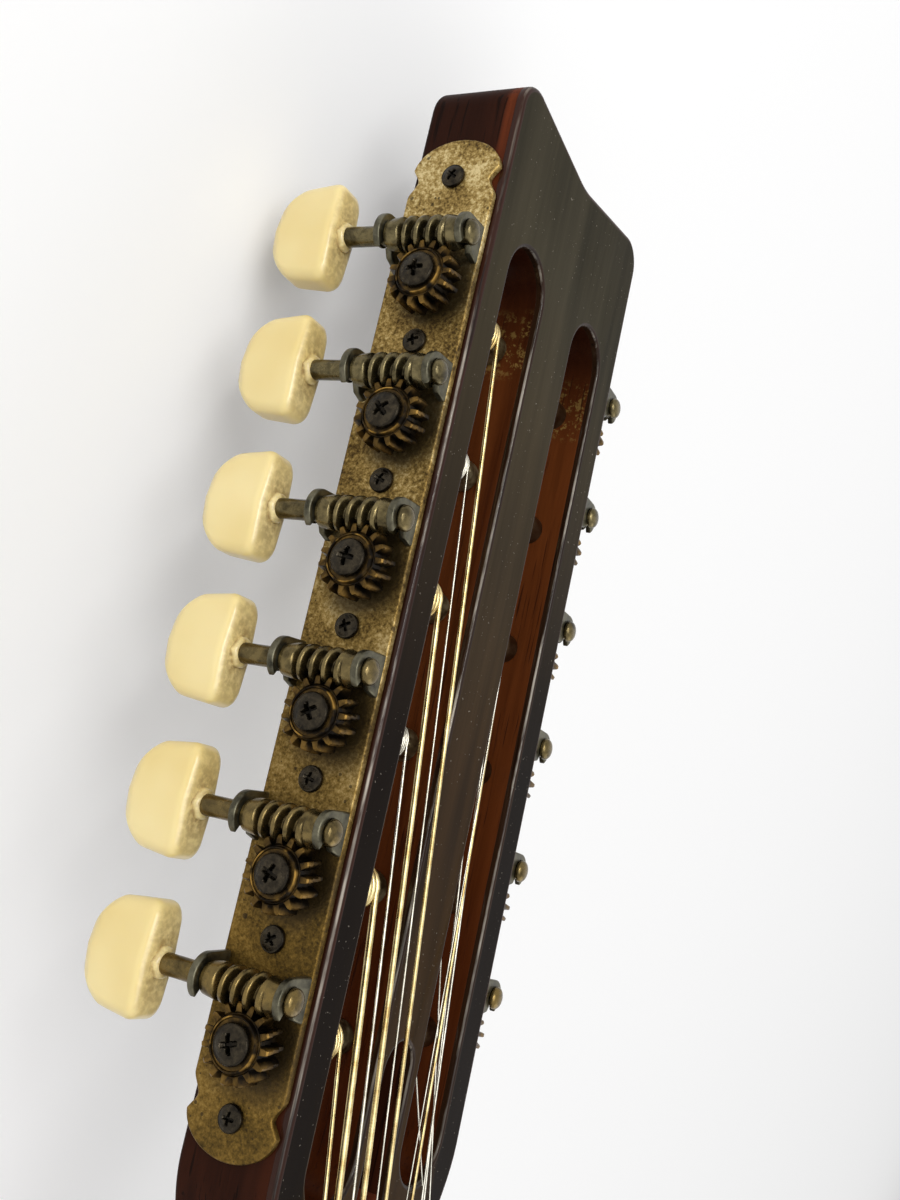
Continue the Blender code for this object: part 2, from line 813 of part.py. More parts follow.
def build_head_veneer():
    stations = [0.0006 + (head_flare_length - 0.0006) * i / 5 for i in range(6)]
    right = [(head_half_at(y), y) for y in stations]
    right += [(head_half_width, head_length - 0.0035),
              (head_half_width - 0.0010, tip_at(1, 1) - 0.0010),
              (head_half_width - 0.0026, tip_at(1, 1))]
    outline = right + [(0, head_length - notch_depth)] + [(-x, y) for x, y in reversed(right)]
    rings = [in_head([(x, y, z) for x, y in outline]) for z in (-veneer_thickness, 0)]
    veneer = loft("head_veneer", rings, "dark_veneer", False)
    boolean(veneer, bpy.data.objects["head_slot_cutter"], "DIFFERENCE")
    boolean(veneer, bpy.data.objects["rod_recess_cutter"], "DIFFERENCE")


def build_fingerboard():
    # The side profile carries the frets, and is drawn out to the tapering width
    profile = [(nut_front - seat_gap, seat_gap), (nut_front - seat_gap, fingerboard_top)]
    for fret in range(1, fret_count + 1):
        y = nut_front - scale_length * (1 - 2 ** (-fret / 12))
        profile += [(y + fret_width / 2, fingerboard_top), (y + fret_crown_width / 2, fret_top),
                    (y - fret_crown_width / 2, fret_top), (y - fret_width / 2, fingerboard_top)]
    end = nut_front - scale_length * (1 - 2 ** (-fret_count / 12)) - fingerboard_overhang
    profile += [(end, fingerboard_top), (end, seat_gap)]
    rings = [[(side * board_half_width(y), y, z) for y, z in profile] for side in (-1, 1)]
    loft("fingerboard", rings, "rosewood", False)


# Strings: the list gives each name, its course place, its roller's side and its roller's number

def string_layout():
    order = ["1a", "1b", "2a", "2b", "3a", "3b", "4a", "4b", "5a", "5b", "6a", "6b"]
    layout = []
    for index, name in enumerate(order):
        course = index // 2
        pair = -1 if index % 2 else 1
        share = 1 - 2 * course / 5
        at_nut = nut_course_half_spread * share + pair * nut_pair_half_gap
        at_saddle = saddle_course_half_spread * share + pair * saddle_pair_half_gap
        side = 1 if index < 6 else -1
        roller = 5 - index if side == 1 else index - 6
        layout.append((name, at_nut, at_saddle, side, roller, index % 2))
    return layout


def build_nut():
    top_points = []
    for name, at_nut, at_saddle, side, roller, row in reversed(string_layout()):
        radius = string_diameters[name] / 2
        floor = nut_string_bottom - string_gap
        rim = nut_string_bottom + nut_rise_over_string
        half = radius + string_gap
        top_points += [(at_nut - half, rim), (at_nut - half, floor), (at_nut + half, floor), (at_nut + half, rim)]
    half = nut_half_width
    outline = [(-half, seat_gap)] + [(-half, nut_string_bottom)] + top_points
    outline += [(half, nut_string_bottom), (half, seat_gap)]
    rings = [[(x, y, z) for x, z in outline] for y in (nut_front + seat_gap, bend_place - seat_gap)]
    loft("nut", rings, "bone", False)


def build_bridge():
    front = saddle_place + bridge_width * 0.30
    rings = []
    stations = ((-1.0, 0.55), (-0.97, 1.0), (-0.6, 1.0), (-0.5, 1.0), (0.5, 1.0), (0.6, 1.0), (0.97, 1.0), (1.0, 0.55))
    for share, width_share in stations:
        x = share * bridge_half_length
        wing = bridge_half_length - bridge_wing_length
        rise = max(0.0, min(1.0, (abs(x) - wing) / bridge_wing_length))
        top = bridge_height - (bridge_height - bridge_wing_height) * rise ** 0.7
        mid = front - bridge_width / 2
        half = bridge_width / 2 * width_share
        edge = min(0.0025, top * 0.5)
        rings.append([(x, mid - half, seat_gap), (x, mid + half, seat_gap), (x, mid + half, top - edge),
                      (x, mid + half - edge, top), (x, mid - half + edge, top), (x, mid - half, top - edge)])
    bridge = loft("bridge", rings, "rosewood")
    seat = loft("saddle_seat_cutter", box_rings(
        (-saddle_half_length - seat_gap, saddle_half_length + seat_gap),
        (saddle_place - saddle_thickness / 2 - seat_gap, saddle_place + saddle_thickness / 2 + seat_gap),
        (bridge_height - saddle_seat_depth - seat_gap, bridge_height + 0.01)), "rosewood", False)
    boolean(bridge, seat, "DIFFERENCE")
    builder = bmesh.new()
    for name, at_nut, at_saddle, side, roller, row in string_layout():
        y = saddle_place - pin_row_places[row]
        rings = [[(at_saddle + a, y + b, z) for a, b in circle(pin_hole_radius, 6)] for z in (-0.002, 0.02)]
        bridge_rings(builder, rings)
    boolean(bridge, as_cutter(finish_object("pin_hole_cutter", builder, "rosewood")), "DIFFERENCE")
    half = saddle_thickness / 2
    loft("saddle", box_rings((-saddle_half_length, saddle_half_length),
                             (saddle_place - half, saddle_place + half),
                             (bridge_height - saddle_seat_depth, saddle_top)), "bone", False)


def string_route(name, at_nut, at_saddle, side, roller, row):
    # Pin hole, saddle, nut, then round its roller: the wraps climb outwards along the roller
    radius = string_diameters[name] / 2
    pin = saddle_place - pin_row_places[row]
    over_saddle = saddle_string_bottom + radius
    over_nut = nut_string_bottom + radius
    half_saddle = saddle_thickness / 2 + 0.0004
    route = [Vector((at_saddle, pin, 0.002)), Vector((at_saddle, pin, bridge_height - 0.0010)),
             Vector((at_saddle, pin + 0.0018, bridge_height + 0.0006 + radius)),
             Vector((at_saddle, saddle_place - half_saddle, over_saddle)),
             Vector((at_saddle, saddle_place + half_saddle, over_saddle)),
             Vector((at_nut, nut_front - 0.0005, over_nut)),
             Vector((at_nut, bend_place + 0.0004, over_nut))]
    half_step = math.pi / wrap_points_per_turn
    wrap_radius = (roller_radius + running_gap) / math.cos(half_step) + radius
    pitch = 2 * radius + wrap_spacing
    centre = first_roller_from_nut - tuner_spacing * roller
    start_turn = math.radians(100)
    for i in range(wrap_turns * wrap_points_per_turn + 1):
        turn = start_turn - 2 * math.pi * i / wrap_points_per_turn
        out = wrap_start + pitch * i / wrap_points_per_turn
        route.append(head_frame @ Vector((side * out, centre + wrap_radius * math.cos(turn),
                                          -gear_depth + wrap_radius * math.sin(turn))))
    return route, radius


def build_strings():
    least_gap = 1.0
    apart = wrap_points_per_turn - 1
    for entry in string_layout():
        route, radius = string_route(*entry)
        curve = bpy.data.curves.new("string_" + entry[0], "CURVE")
        curve.dimensions = "3D"
        spline = curve.splines.new("POLY")
        spline.points.add(len(route) - 1)
        for point, place in zip(spline.points, route):
            point.co = (*place, 1)
        curve.bevel_depth = radius
        curve.bevel_resolution = 1 if string_diameters[entry[0]] > 0.0005 else 0
        curve.use_fill_caps = True
        made = bpy.data.objects.new("string_" + entry[0], curve)
        bpy.context.scene.collection.objects.link(made)
        wire = "bronze_wire" if string_diameters[entry[0]] > 0.0005 else "plain_wire"
        curve.materials.append(material("string_" + entry[0] + "_finish", *finishes[wire]))
        made.parent = guitar
        for i, here in enumerate(route):
            for there in route[i + apart:]:
                least_gap = min(least_gap, (there - here).length - 2 * radius)
    print("least gap between a string's own turns, mm:", round(least_gap * 1000, 3))


# Machine heads. A key's own frame has its shaft along z, with z = 0 level with the gear's axle.

front_lug_outer = gear_depth - plate_front_edge - lug_edge_inset
front_lug_inner = front_lug_outer - lug_thickness
back_lug_outer = gear_depth - plate_front_edge - plate_width + lug_edge_inset
back_lug_inner = back_lug_outer + lug_thickness
thread_length = worm_turns * thread_lead
thread_bottom = thread_top - thread_length - thread_lead
thread_base = thread_lead * thread_base_share
crest_facing_gear = thread_bottom + thread_lead * 1.75 - thread_base / 2
gear_phase = 2 * math.pi / gear_teeth * (crest_facing_gear / thread_lead + 0.5)
button_top = gear_depth - head_thickness - shaft_past_head


def thread_surface(builder, lower_ring, upper_ring):
    # A grid that follows the helix: root, root, tip at each step, each turn sewn to the next
    steps = round(worm_turns * key_sides)
    profile = ((worm_root_radius, 0.0), (worm_root_radius, thread_lead - thread_base),
               (worm_tip_radius, thread_lead - thread_base / 2))
    rows = []
    for i in range(steps + 1):
        turn = 2 * math.pi * i / key_sides
        rise = thread_bottom + thread_lead * i / key_sides
        row = []
        for radius, offset in profile:
            row.append(builder.verts.new((radius * math.cos(turn), radius * math.sin(turn), rise + offset)))
        rows.append(row)
    last = []
    for i in range(steps + 1, steps + key_sides + 1):
        turn = 2 * math.pi * i / key_sides
        rise = thread_bottom + thread_lead * i / key_sides
        last.append(builder.verts.new((worm_root_radius * math.cos(turn), worm_root_radius * math.sin(turn), rise)))

    def start_of(i):
        return rows[i][0] if i <= steps else last[i - steps - 1]

    for i in range(steps):
        here, there = rows[i], rows[i + 1]
        next_here, next_there = start_of(i + key_sides), start_of(i + 1 + key_sides)
        builder.faces.new((here[0], there[0], there[1], here[1]))
        builder.faces.new((here[1], there[1], there[2], here[2]))
        builder.faces.new((here[2], there[2], next_there, next_here))
    # The core below and above the thread, and the thread's two blunt ends
    for i in range(key_sides - 1):
        builder.faces.new((lower_ring[i], lower_ring[i + 1], start_of(i + 1), start_of(i)))
    low = rows[0]
    builder.faces.new((lower_ring[-1], lower_ring[0], low[0], low[1], start_of(key_sides), start_of(key_sides - 1)))
    builder.faces.new((low[1], low[2], start_of(key_sides)))
    high = rows[steps]
    for i in range(steps + 1, steps + key_sides):
        below, above = upper_ring[i % key_sides], upper_ring[(i + 1) % key_sides]
        builder.faces.new((start_of(i), start_of(i + 1), above, below))
    seam, after = upper_ring[steps % key_sides], upper_ring[(steps + 1) % key_sides]
    end = start_of(steps + key_sides)
    builder.faces.new((high[0], start_of(steps + 1), after, seam, end, high[1]))
    builder.faces.new((high[1], end, high[2]))


def key_mesh(side):
    builder = bmesh.new()

    def ring(radius, z):
        return [builder.verts.new((x, y, z)) for x, y in circle(radius, key_sides)]

    def squared(share):
        return math.copysign(abs(share) ** button_squareness, share)

    def button_ring(wide, thick, z):
        # Wide along y and thin along x, with full corners
        return [builder.verts.new((thick * squared(x), wide * squared(y), z)) for x, y in circle(1, key_sides)]

    def join(rings):
        for lower, upper in zip(rings, rings[1:]):
            for i in range(key_sides):
                j = (i + 1) % key_sides
                builder.faces.new((lower[i], lower[j], upper[j], upper[i]))

    front = [ring(worm_root_radius, thread_top + 0.0002)]
    front += [ring(barrel_radius, thread_top + 0.0002), ring(barrel_radius, front_lug_inner - running_gap),
              ring(journal_radius, front_lug_inner - running_gap),
              ring(journal_radius, front_lug_outer + running_gap),
              ring(rivet_radius, front_lug_outer + running_gap),
              ring(rivet_radius * 0.55, front_lug_outer + running_gap + rivet_height)]
    join(front)
    builder.faces.new(front[-1])
    rear = [ring(worm_root_radius, thread_bottom - 0.0002), ring(barrel_radius, thread_bottom - 0.0002),
            ring(barrel_radius, back_lug_inner + running_gap), ring(journal_radius, back_lug_inner + running_gap),
            ring(journal_radius, button_top + 0.0010), ring(collar_radius, button_top + 0.0004)]
    stations = ((0.88, 0.84, -0.0012), (1.0, 1.0, -0.0042), (0.93, 1.0, -0.0096),
                (0.66, 0.70, -button_length))
    for wide, thick, z in stations:
        rear.append(button_ring(button_half_width * wide, button_half_thickness * thick, button_top + z))
    join(rear)
    builder.faces.new(rear[-1])
    thread_surface(builder, rear[0], front[0])
    for vert in builder.verts:
        vert.co.x *= side
    bmesh.ops.recalc_face_normals(builder, faces=builder.faces)
    mesh = bpy.data.meshes.new("tuner_key_mesh")
    builder.to_mesh(mesh)
    builder.free()
    # Slot 0 is the metal, slot 1 the plastic button below the collar
    mesh.materials.append(None)
    mesh.materials.append(None)
    for face in mesh.polygons:
        face.material_index = 1 if face.center.z < button_top - 0.0002 else 0
    return mesh


def gear_outline(turn):
    points = []
    pitch_turn = 2 * math.pi / gear_teeth
    for tooth in range(gear_teeth):
        middle = tooth * pitch_turn + turn
        for radius, share in ((gear_root_radius, -tooth_base_share), (gear_tip_radius, -tooth_tip_share),
                              (gear_tip_radius, tooth_tip_share), (gear_root_radius, tooth_base_share)):
            a = middle + share * pitch_turn / 2
            points.append((radius * math.cos(a), radius * math.sin(a)))
    return points


def roller_mesh(side):
    # Own frame: the axle along x, x = 0 at the middle of the slot, y along the head
    builder = bmesh.new()
    rib_edge = slot_centre - slot_half_width
    gear_inner = head_half_width + gear_height - gear_thickness / 2 - slot_centre
    gear_outer = gear_inner + gear_thickness
    bearing_in = rib_edge - roller_bearing_length - slot_centre
    shoulder = rib_edge + running_gap - slot_centre

    def ring(radius, out):
        return [builder.verts.new((out, a, b)) for a, b in circle(radius, round_sides)]

    def join(rings):
        for lower, upper in zip(rings, rings[1:]):
            for i in range(round_sides):
                j = (i + 1) % round_sides
                builder.faces.new((lower[i], lower[j], upper[j], upper[i]))

    inner = [ring(roller_end_radius, bearing_in), ring(roller_end_radius, shoulder),
             ring(roller_radius, shoulder), ring(roller_radius, gear_inner)]
    builder.faces.new(inner[0])
    join(inner)
    outer = [ring(hub_radius, gear_outer), ring(hub_radius * 0.97, gear_outer + hub_rise),
             ring(gear_screw_radius, gear_outer + hub_rise),
             ring(gear_screw_radius * 0.6, gear_outer + hub_rise + gear_screw_rise)]
    join(outer)
    builder.faces.new(outer[-1])
    lean = gear_thickness * math.tan(lead_angle) / gear_pitch_radius
    back_face = [builder.verts.new((gear_inner, a, b)) for a, b in gear_outline(gear_phase - lean / 2)]
    front_face = [builder.verts.new((gear_outer, a, b)) for a, b in gear_outline(gear_phase + lean / 2)]
    count = len(back_face)
    for i in range(count):
        j = (i + 1) % count
        builder.faces.new((back_face[i], back_face[j], front_face[j], front_face[i]))
    share = count // round_sides
    for flat, core in ((back_face, inner[-1]), (front_face, outer[0])):
        for i in range(round_sides):
            j = (i + 1) % round_sides
            arc = [flat[(i * share + k) % count] for k in range(share + 1)]
            builder.faces.new([core[i]] + arc + [core[j]])
    for vert in builder.verts:
        vert.co.x *= side
    bmesh.ops.recalc_face_normals(builder, faces=builder.faces)
    mesh = bpy.data.meshes.new("string_roller_mesh")
    builder.to_mesh(mesh)
    builder.free()
    return mesh


def plate_outline():
    # Arched ends that stop at an ear on each long edge, with a small hollow behind it
    top = first_roller_from_nut + plate_past_first_roller
    bottom = top - plate_length
    half = plate_width / 2
    middle = -plate_front_edge - half
    dip = plate_notch_depth
    ear = plate_ear_place
    one_end = [(half, ear + 0.0048), (half - dip * 0.8, ear + 0.0026), (half - dip, ear + 0.0015), (half, ear)]
    for share in (0.90, 0.62, 0.25):
        one_end.append((half * share, ear * (1 - math.sqrt(1 - share * share))))
    upper = [(middle + across, top - back) for across, back in one_end]
    upper += [(middle - across, top - back) for across, back in reversed(one_end)]
    lower = [(middle - across, bottom + back) for across, back in one_end]
    lower += [(middle + across, bottom + back) for across, back in reversed(one_end)]
    return upper + lower


def lug_outline():
    # A hook round the worm's journal, its mouth open towards the gear
    outer = [(lug_radius, plate_thickness * -0.4 - gear_height + seat_gap + plate_thickness)]
    for i in range(4):
        turn = (math.pi - lug_mouth) * i / 3
        outer.append((lug_radius * math.cos(turn), lug_radius * math.sin(turn)))
    bore = (journal_radius + running_gap) / math.cos(math.pi / 6)
    inner = []
    for i in range(6):
        turn = (math.pi - lug_mouth) - (2 * math.pi - 2 * lug_mouth) * i / 5
        inner.append((bore * math.cos(turn), bore * math.sin(turn)))
    low = (-lug_radius * math.cos(lug_mouth), -lug_radius * math.sin(lug_mouth))
    return outer + inner + [low, (-lug_radius, outer[0][1])]


def build_machine_heads():
    for side, side_name in ((1, "treble"), (-1, "bass")):
        plate_rings = [in_head([(side * out, y, z) for z, y in plate_outline()])
                       for out in (plate_base, plate_top)]
        plate = loft("tuner_plate_" + side_name, plate_rings, "aged_brass", False)
        lugs = bmesh.new()
        holes = bmesh.new()
        for place in roller_places():
            for low, high in ((front_lug_inner, front_lug_outer), (back_lug_outer, back_lug_inner)):
                rings = []
                for depth in (low, high):
                    rings.append(in_head([(side * (worm_height + out), place + axle_distance + along,
                                           -gear_depth + depth) for along, out in lug_outline()]))
                bridge_rings(lugs, rings)
            rings = [in_head([(side * out, place + a, -gear_depth + b)
                              for a, b in circle(hole_round(roller_radius), key_sides)])
                     for out in (plate_base - 0.001, plate_top + 0.001)]
            bridge_rings(holes, rings)
        boolean(plate, as_cutter(finish_object("lug_bodies_" + side_name, lugs, "aged_brass", False)), "UNION")
        boolean(plate, as_cutter(finish_object("plate_hole_cutter_" + side_name, holes, "aged_brass")),
                "DIFFERENCE")
        key = key_mesh(side)
        roller = roller_mesh(side)
        for number, place in enumerate(roller_places(), start=1):
            turned_key = object_from_mesh(f"tuner_key_{side_name}_{number}", key, "grey_steel")
            turned_key.material_slots[1].link = "OBJECT"
            turned_key.material_slots[1].material = material(turned_key.name + "_button_finish",
                                                             *finishes["ivory_plastic"])
            turned_key.matrix_local = head_frame @ Matrix.Translation(
                (side * worm_height, place + axle_distance, -gear_depth))
            turned_roller = object_from_mesh(f"string_roller_{side_name}_{number}", roller, "nickel")
            turned_roller.matrix_local = head_frame @ Matrix.Translation(
                (side * slot_centre, place, -gear_depth))


def lay_down():
    # Turns the guitar so the flat middle of its back lies on the floor, and centres the outline
    guitar.rotation_euler = (-back_slope, 0, 0)
    bpy.context.view_layer.update()
    graph = bpy.context.evaluated_depsgraph_get()
    low = Vector((1e9, 1e9, 1e9))
    high = -low
    for piece in bpy.context.scene.objects:
        if piece.type == "EMPTY" or piece.hide_render:
            continue
        shown = piece.evaluated_get(graph)
        mesh = shown.to_mesh()
        for vert in mesh.vertices:
            place = shown.matrix_world @ vert.co
            for axis in range(3):
                low[axis] = min(low[axis], place[axis])
                high[axis] = max(high[axis], place[axis])
        shown.to_mesh_clear()
    guitar.location = (-(low.x + high.x) / 2, -(low.y + high.y) / 2, -low.z)
    bpy.context.view_layer.update()


def main():
    build_soundboard()
    build_back()
    build_sides()
    build_linings()
    build_blocks()
    build_braces()
    build_pickguard()
    build_end_pin()
    build_neck()
    build_head()
    build_head_veneer()
    build_truss_rod()
    build_fingerboard()
    build_nut()
    build_bridge()
    build_machine_heads()
    build_strings()
    lay_down()


for old in list(bpy.data.objects):
    bpy.data.objects.remove(old, do_unlink=True)
guitar = bpy.data.objects.new("guitar_frame", None)
bpy.context.scene.collection.objects.link(guitar)
main()
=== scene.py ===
import json
import math
import bmesh
import bpy
import numpy as np
from mathutils import Matrix, Vector
from mathutils.geometry import tessellate_polygon


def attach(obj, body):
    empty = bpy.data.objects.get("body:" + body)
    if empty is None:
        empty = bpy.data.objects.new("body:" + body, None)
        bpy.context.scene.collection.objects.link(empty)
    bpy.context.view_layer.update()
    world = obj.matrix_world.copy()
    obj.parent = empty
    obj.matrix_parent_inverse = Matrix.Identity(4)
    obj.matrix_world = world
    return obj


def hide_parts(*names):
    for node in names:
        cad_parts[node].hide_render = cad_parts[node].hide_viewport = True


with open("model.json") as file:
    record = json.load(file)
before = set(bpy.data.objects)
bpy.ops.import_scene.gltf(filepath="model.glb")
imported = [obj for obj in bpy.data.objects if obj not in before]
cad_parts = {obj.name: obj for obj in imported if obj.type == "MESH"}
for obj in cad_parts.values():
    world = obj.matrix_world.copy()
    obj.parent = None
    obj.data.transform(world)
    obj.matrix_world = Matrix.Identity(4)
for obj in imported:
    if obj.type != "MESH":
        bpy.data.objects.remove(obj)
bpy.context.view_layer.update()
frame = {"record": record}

# Looks of a twelve-string guitar that lies on its back: +Y runs to the head, +X is the treble side.
# Points are written in one of two working frames, in metres:
#   body (x, y, z): y = 0 at the neck joint, z = 0 on the soundboard
#   head (x, along, out): along = 0 behind the nut, out = 0 on the head's face
joints = {joint["name"]: joint for joint in frame["record"]["behaviour"]["joints"]}
firstKey = joints["key_treble_1_turn"]
headTurn = math.atan2(firstKey["axis"][1], firstKey["axis"][2])
headTilt = math.radians(14.5)
neckSlope = headTurn - headTilt
sides = (("treble", 1), ("bass", -1))


# Working frames

def turned(points, turn):
    # Turns points about X, so that +Y dips towards the floor
    x, y, z = np.moveaxis(np.asarray(points, float), -1, 0)
    return np.stack([x, math.cos(turn) * y + math.sin(turn) * z, math.cos(turn) * z - math.sin(turn) * y], -1)


guitarSizes = {
    "scale": 0.634,
    "bodyFret": 14,
    "frets": 20,
    "nutThickness": 0.0060,
    "veneer": 0.0015,
    "seatGap": 0.0003,
    "firstRoller": 0.172,
    "rollerSpacing": 0.0254,
    "gearDepth": 0.0084,
    "wormPastGear": 0.0079,
    "wormOut": 0.0373,
    "headHalf": 0.0315,
    "headThickness": 0.0189,
    "jointHalf": 0.0290,
}
veneer, gearDepth, wormOut = guitarSizes["veneer"], guitarSizes["gearDepth"], guitarSizes["wormOut"]
headHalf, headThickness = guitarSizes["headHalf"], guitarSizes["headThickness"]
seat = guitarSizes["seatGap"]
nutFront = guitarSizes["scale"] * (1 - 2 ** (-guitarSizes["bodyFret"] / 12))
bendPlace = nutFront + guitarSizes["nutThickness"]
saddlePlace = nutFront - guitarSizes["scale"]
rollerPlaces = [guitarSizes["firstRoller"] - guitarSizes["rollerSpacing"] * i for i in range(6)]
wormPlaces = [place + guitarSizes["wormPastGear"] for place in rollerPlaces]
headOrigin = np.array(firstKey["pos_m"]) - turned([wormOut, wormPlaces[0], -gearDepth], headTurn)
bodyOrigin = headOrigin - turned([0, bendPlace, veneer + seat], neckSlope)


def inHead(points):
    return turned(points, headTurn) + headOrigin


def inBody(points):
    return turned(points, neckSlope) + bodyOrigin


def bodyFromHead(points):
    # A place in the head's frame, written in the body's frame
    lift = [0, bendPlace, veneer + seat]
    return turned(points, headTilt) + np.array(lift)


# Surfaces: each is a grid of points, row by row, with its faces

def addObject(name, data):
    made = bpy.data.objects.new(name, data)
    bpy.context.scene.collection.objects.link(made)
    return made


def gridFaces(rows, columns, wrapRows, wrapColumns):
    # Quads between neighbouring rows and columns; a wrapped direction joins its last line to its first
    row, column = np.meshgrid(np.arange(rows if wrapRows else rows - 1),
        np.arange(columns if wrapColumns else columns - 1), indexing="ij")
    nextRow, nextColumn = (row + 1) % rows, (column + 1) % columns
    corners = (row * columns + column, nextRow * columns + column, nextRow * columns + nextColumn,
        row * columns + nextColumn)
    return np.stack(corners, -1).reshape(-1, 4)


def gridSurface(grid, wrapRows=False, wrapColumns=True, caps=(), finish=0, wear=None):
    rows, columns = grid.shape[:2]
    faces = [gridFaces(rows, columns, wrapRows, wrapColumns)]
    if "start" in caps:
        faces.append([list(range(columns))])
    if "end" in caps:
        faces.append([list(range((rows - 1) * columns, rows * columns))])
    worn = np.zeros((rows, columns)) if wear is None else np.broadcast_to(wear, (rows, columns))
    return {"points": grid.reshape(-1, 3), "faces": faces, "finish": finish, "wear": worn.ravel()}


def makePiece(name, surfaces, finishes, body="guitar", replaces=(), angle=38):
    # Joins surfaces into one closed mesh that faces out, and lets it ride on a body
    points, faces, numbers, wear, start = [], [], [], [], 0
    for surface in surfaces:
        points.append(surface["points"])
        wear.append(surface["wear"])
        for block in surface["faces"]:
            block = [[corner + start for corner in face] for face in block]
            faces += block
            numbers += [surface["finish"]] * len(block)
        start += len(surface["points"])
    mesh = bpy.data.meshes.new(name)
    mesh.from_pydata(np.concatenate(points).tolist(), [], faces)
    mesh.attributes.new("wear", "FLOAT", "POINT").data.foreach_set("value", np.concatenate(wear))
    mesh.polygons.foreach_set("material_index", numbers)
    builder = bmesh.new()
    builder.from_mesh(mesh)
    bmesh.ops.remove_doubles(builder, verts=builder.verts, dist=2e-7)
    bmesh.ops.recalc_face_normals(builder, faces=builder.faces)
    builder.to_mesh(mesh)
    builder.free()
    mesh.shade_smooth()
    mesh.set_sharp_from_angle(angle=math.radians(angle))
    piece = addObject(name, mesh)
    for finish in finishes:
        mesh.materials.append(finish)
    if replaces:
        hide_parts(*replaces)
    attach(piece, body)


def shoelace(loop):
    ahead = np.roll(loop, -1, 0)
    return np.sum(loop[:, 0] * ahead[:, 1] - ahead[:, 0] * loop[:, 1]) / 2


def aroundMaterial(loop, hole=False):
    # Outlines run anticlockwise and holes clockwise, so the material is always on the left
    return loop[::-1] if (shoelace(loop) > 0) == hole else loop


def insetLoop(loop, distance):
    # Each point moves into the material along the bisector of its two edges
    ahead = np.roll(loop, -1, 0) - loop
    ahead /= np.linalg.norm(ahead, axis=1, keepdims=True)
    left = np.stack([-ahead[:, 1], ahead[:, 0]], -1)
    before = np.roll(left, 1, 0)
    return loop + distance * (left + before) / (1 + np.sum(left * before, 1, keepdims=True))


def roundCorners(corners, radii, steps=6, closed=True):
    # Each corner becomes an arc that touches both of its edges
    corners = np.asarray(corners, float)
    radii = np.broadcast_to(radii, len(corners))
    made = []
    for i, (here, radius) in enumerate(zip(corners, radii)):
        back = corners[i - 1] - here
        ahead = corners[(i + 1) % len(corners)] - here
        backLength, aheadLength = np.linalg.norm(back), np.linalg.norm(ahead)
        if radius <= 0 or (not closed and i in (0, len(corners) - 1)):
            made.append(here[None])
            continue
        back, ahead = back / backLength, ahead / aheadLength
        half = math.acos(max(-1.0, min(1.0, float(back @ ahead)))) / 2
        if half > math.pi / 2 - 0.01:
            made.append(here[None])
            continue
        reach = min(radius / math.tan(half), 0.49 * backLength, 0.49 * aheadLength)
        centre = here + (back + ahead) / np.linalg.norm(back + ahead) * reach / math.cos(half)
        sweep = math.pi - 2 * half
        share = np.linspace(0, 1, steps + 1)[:, None]
        startArm, endArm = here + back * reach - centre, here + ahead * reach - centre
        made.append(centre + (np.sin((1 - share) * sweep) * startArm + np.sin(share * sweep) * endArm)
            / math.sin(sweep))
    return np.concatenate(made)


def flatFill(loops, height, place, finish=0):
    # Triangles across a flat region with holes
    rings = [[Vector((float(u), float(v), 0)) for u, v in loop] for loop in loops]
    flat = np.concatenate(loops)
    points = place(np.column_stack([flat, np.full(len(flat), height)]))
    return {"points": points, "faces": [[list(face) for face in tessellate_polygon(rings)]],
        "finish": finish, "wear": np.zeros(len(flat))}


def roundedSlab(loops, low, high, edgeLow, edgeHigh, place, steps=5, wallFinishes=None, faceFinish=0,
        holeEdge=None):
    # A wall along every loop, turned over into the low and the high face by quarter circles
    quarter = np.linspace(0, math.pi / 2, steps + 1)
    surfaces, lowLoops, highLoops = [], [], []
    for number, loop in enumerate(loops):
        bottom, top = edgeLow, edgeHigh
        if number and holeEdge is not None:
            bottom, top = holeEdge
        inset = np.concatenate([[bottom + 0.0001], bottom * (1 - np.sin(quarter)),
            top * (1 - np.cos(quarter)), [top + 0.0001]])
        height = np.concatenate([[low], low + bottom * (1 - np.cos(quarter)),
            high - top * (1 - np.sin(quarter)), [high]])
        rings = np.stack([np.column_stack([insetLoop(loop, step), np.full(len(loop), rise)])
            for step, rise in zip(inset, height)])
        finish = wallFinishes[number] if wallFinishes else faceFinish
        surfaces.append(gridSurface(place(rings), finish=finish))
        lowLoops.append(rings[0][:, :2])
        highLoops.append(rings[-1][:, :2])
    surfaces.append(flatFill(lowLoops, low, place, faceFinish))
    surfaces.append(flatFill(highLoops, high, place, faceFinish))
    return surfaces


def fullTurn(count):
    return np.linspace(0, 2 * math.pi, count, endpoint=False)


def stacked(x, y, z):
    # Points from three coordinates of any shapes that fit one another
    return np.stack(np.broadcast_arrays(x, y, z), -1)


def polar(radius, turn, height):
    return stacked(radius * np.cos(turn), radius * np.sin(turn), height)


def lathe(profile, place, count):
    # A profile of (radius, height) carried round an axis; place puts (a, b, height) where it belongs
    radius, height = np.asarray(profile, float).T
    grid = polar(radius[:, None], fullTurn(count), height[:, None])
    caps = [end for end, size in (("start", radius[0]), ("end", radius[-1])) if size > 1e-6]
    return gridSurface(place(grid), caps=caps)


def tube(path, radius, count):
    # A circle carried along a path; the wear attribute holds the distance along it
    path = np.asarray(path, float)
    ahead = np.gradient(path, axis=0)
    ahead /= np.linalg.norm(ahead, axis=1, keepdims=True)
    side = np.cross(ahead, (1.0, 0.0, 0.0))
    side /= np.linalg.norm(side, axis=1, keepdims=True)
    up = np.cross(side, ahead)
    turn = fullTurn(count)[:, None]
    grid = path[:, None] + radius * (np.cos(turn) * side[:, None] + np.sin(turn) * up[:, None])
    run = np.concatenate([[0], np.cumsum(np.linalg.norm(np.diff(path, axis=0), axis=1))])
    return gridSurface(grid, caps=("start", "end"), wear=run[:, None])


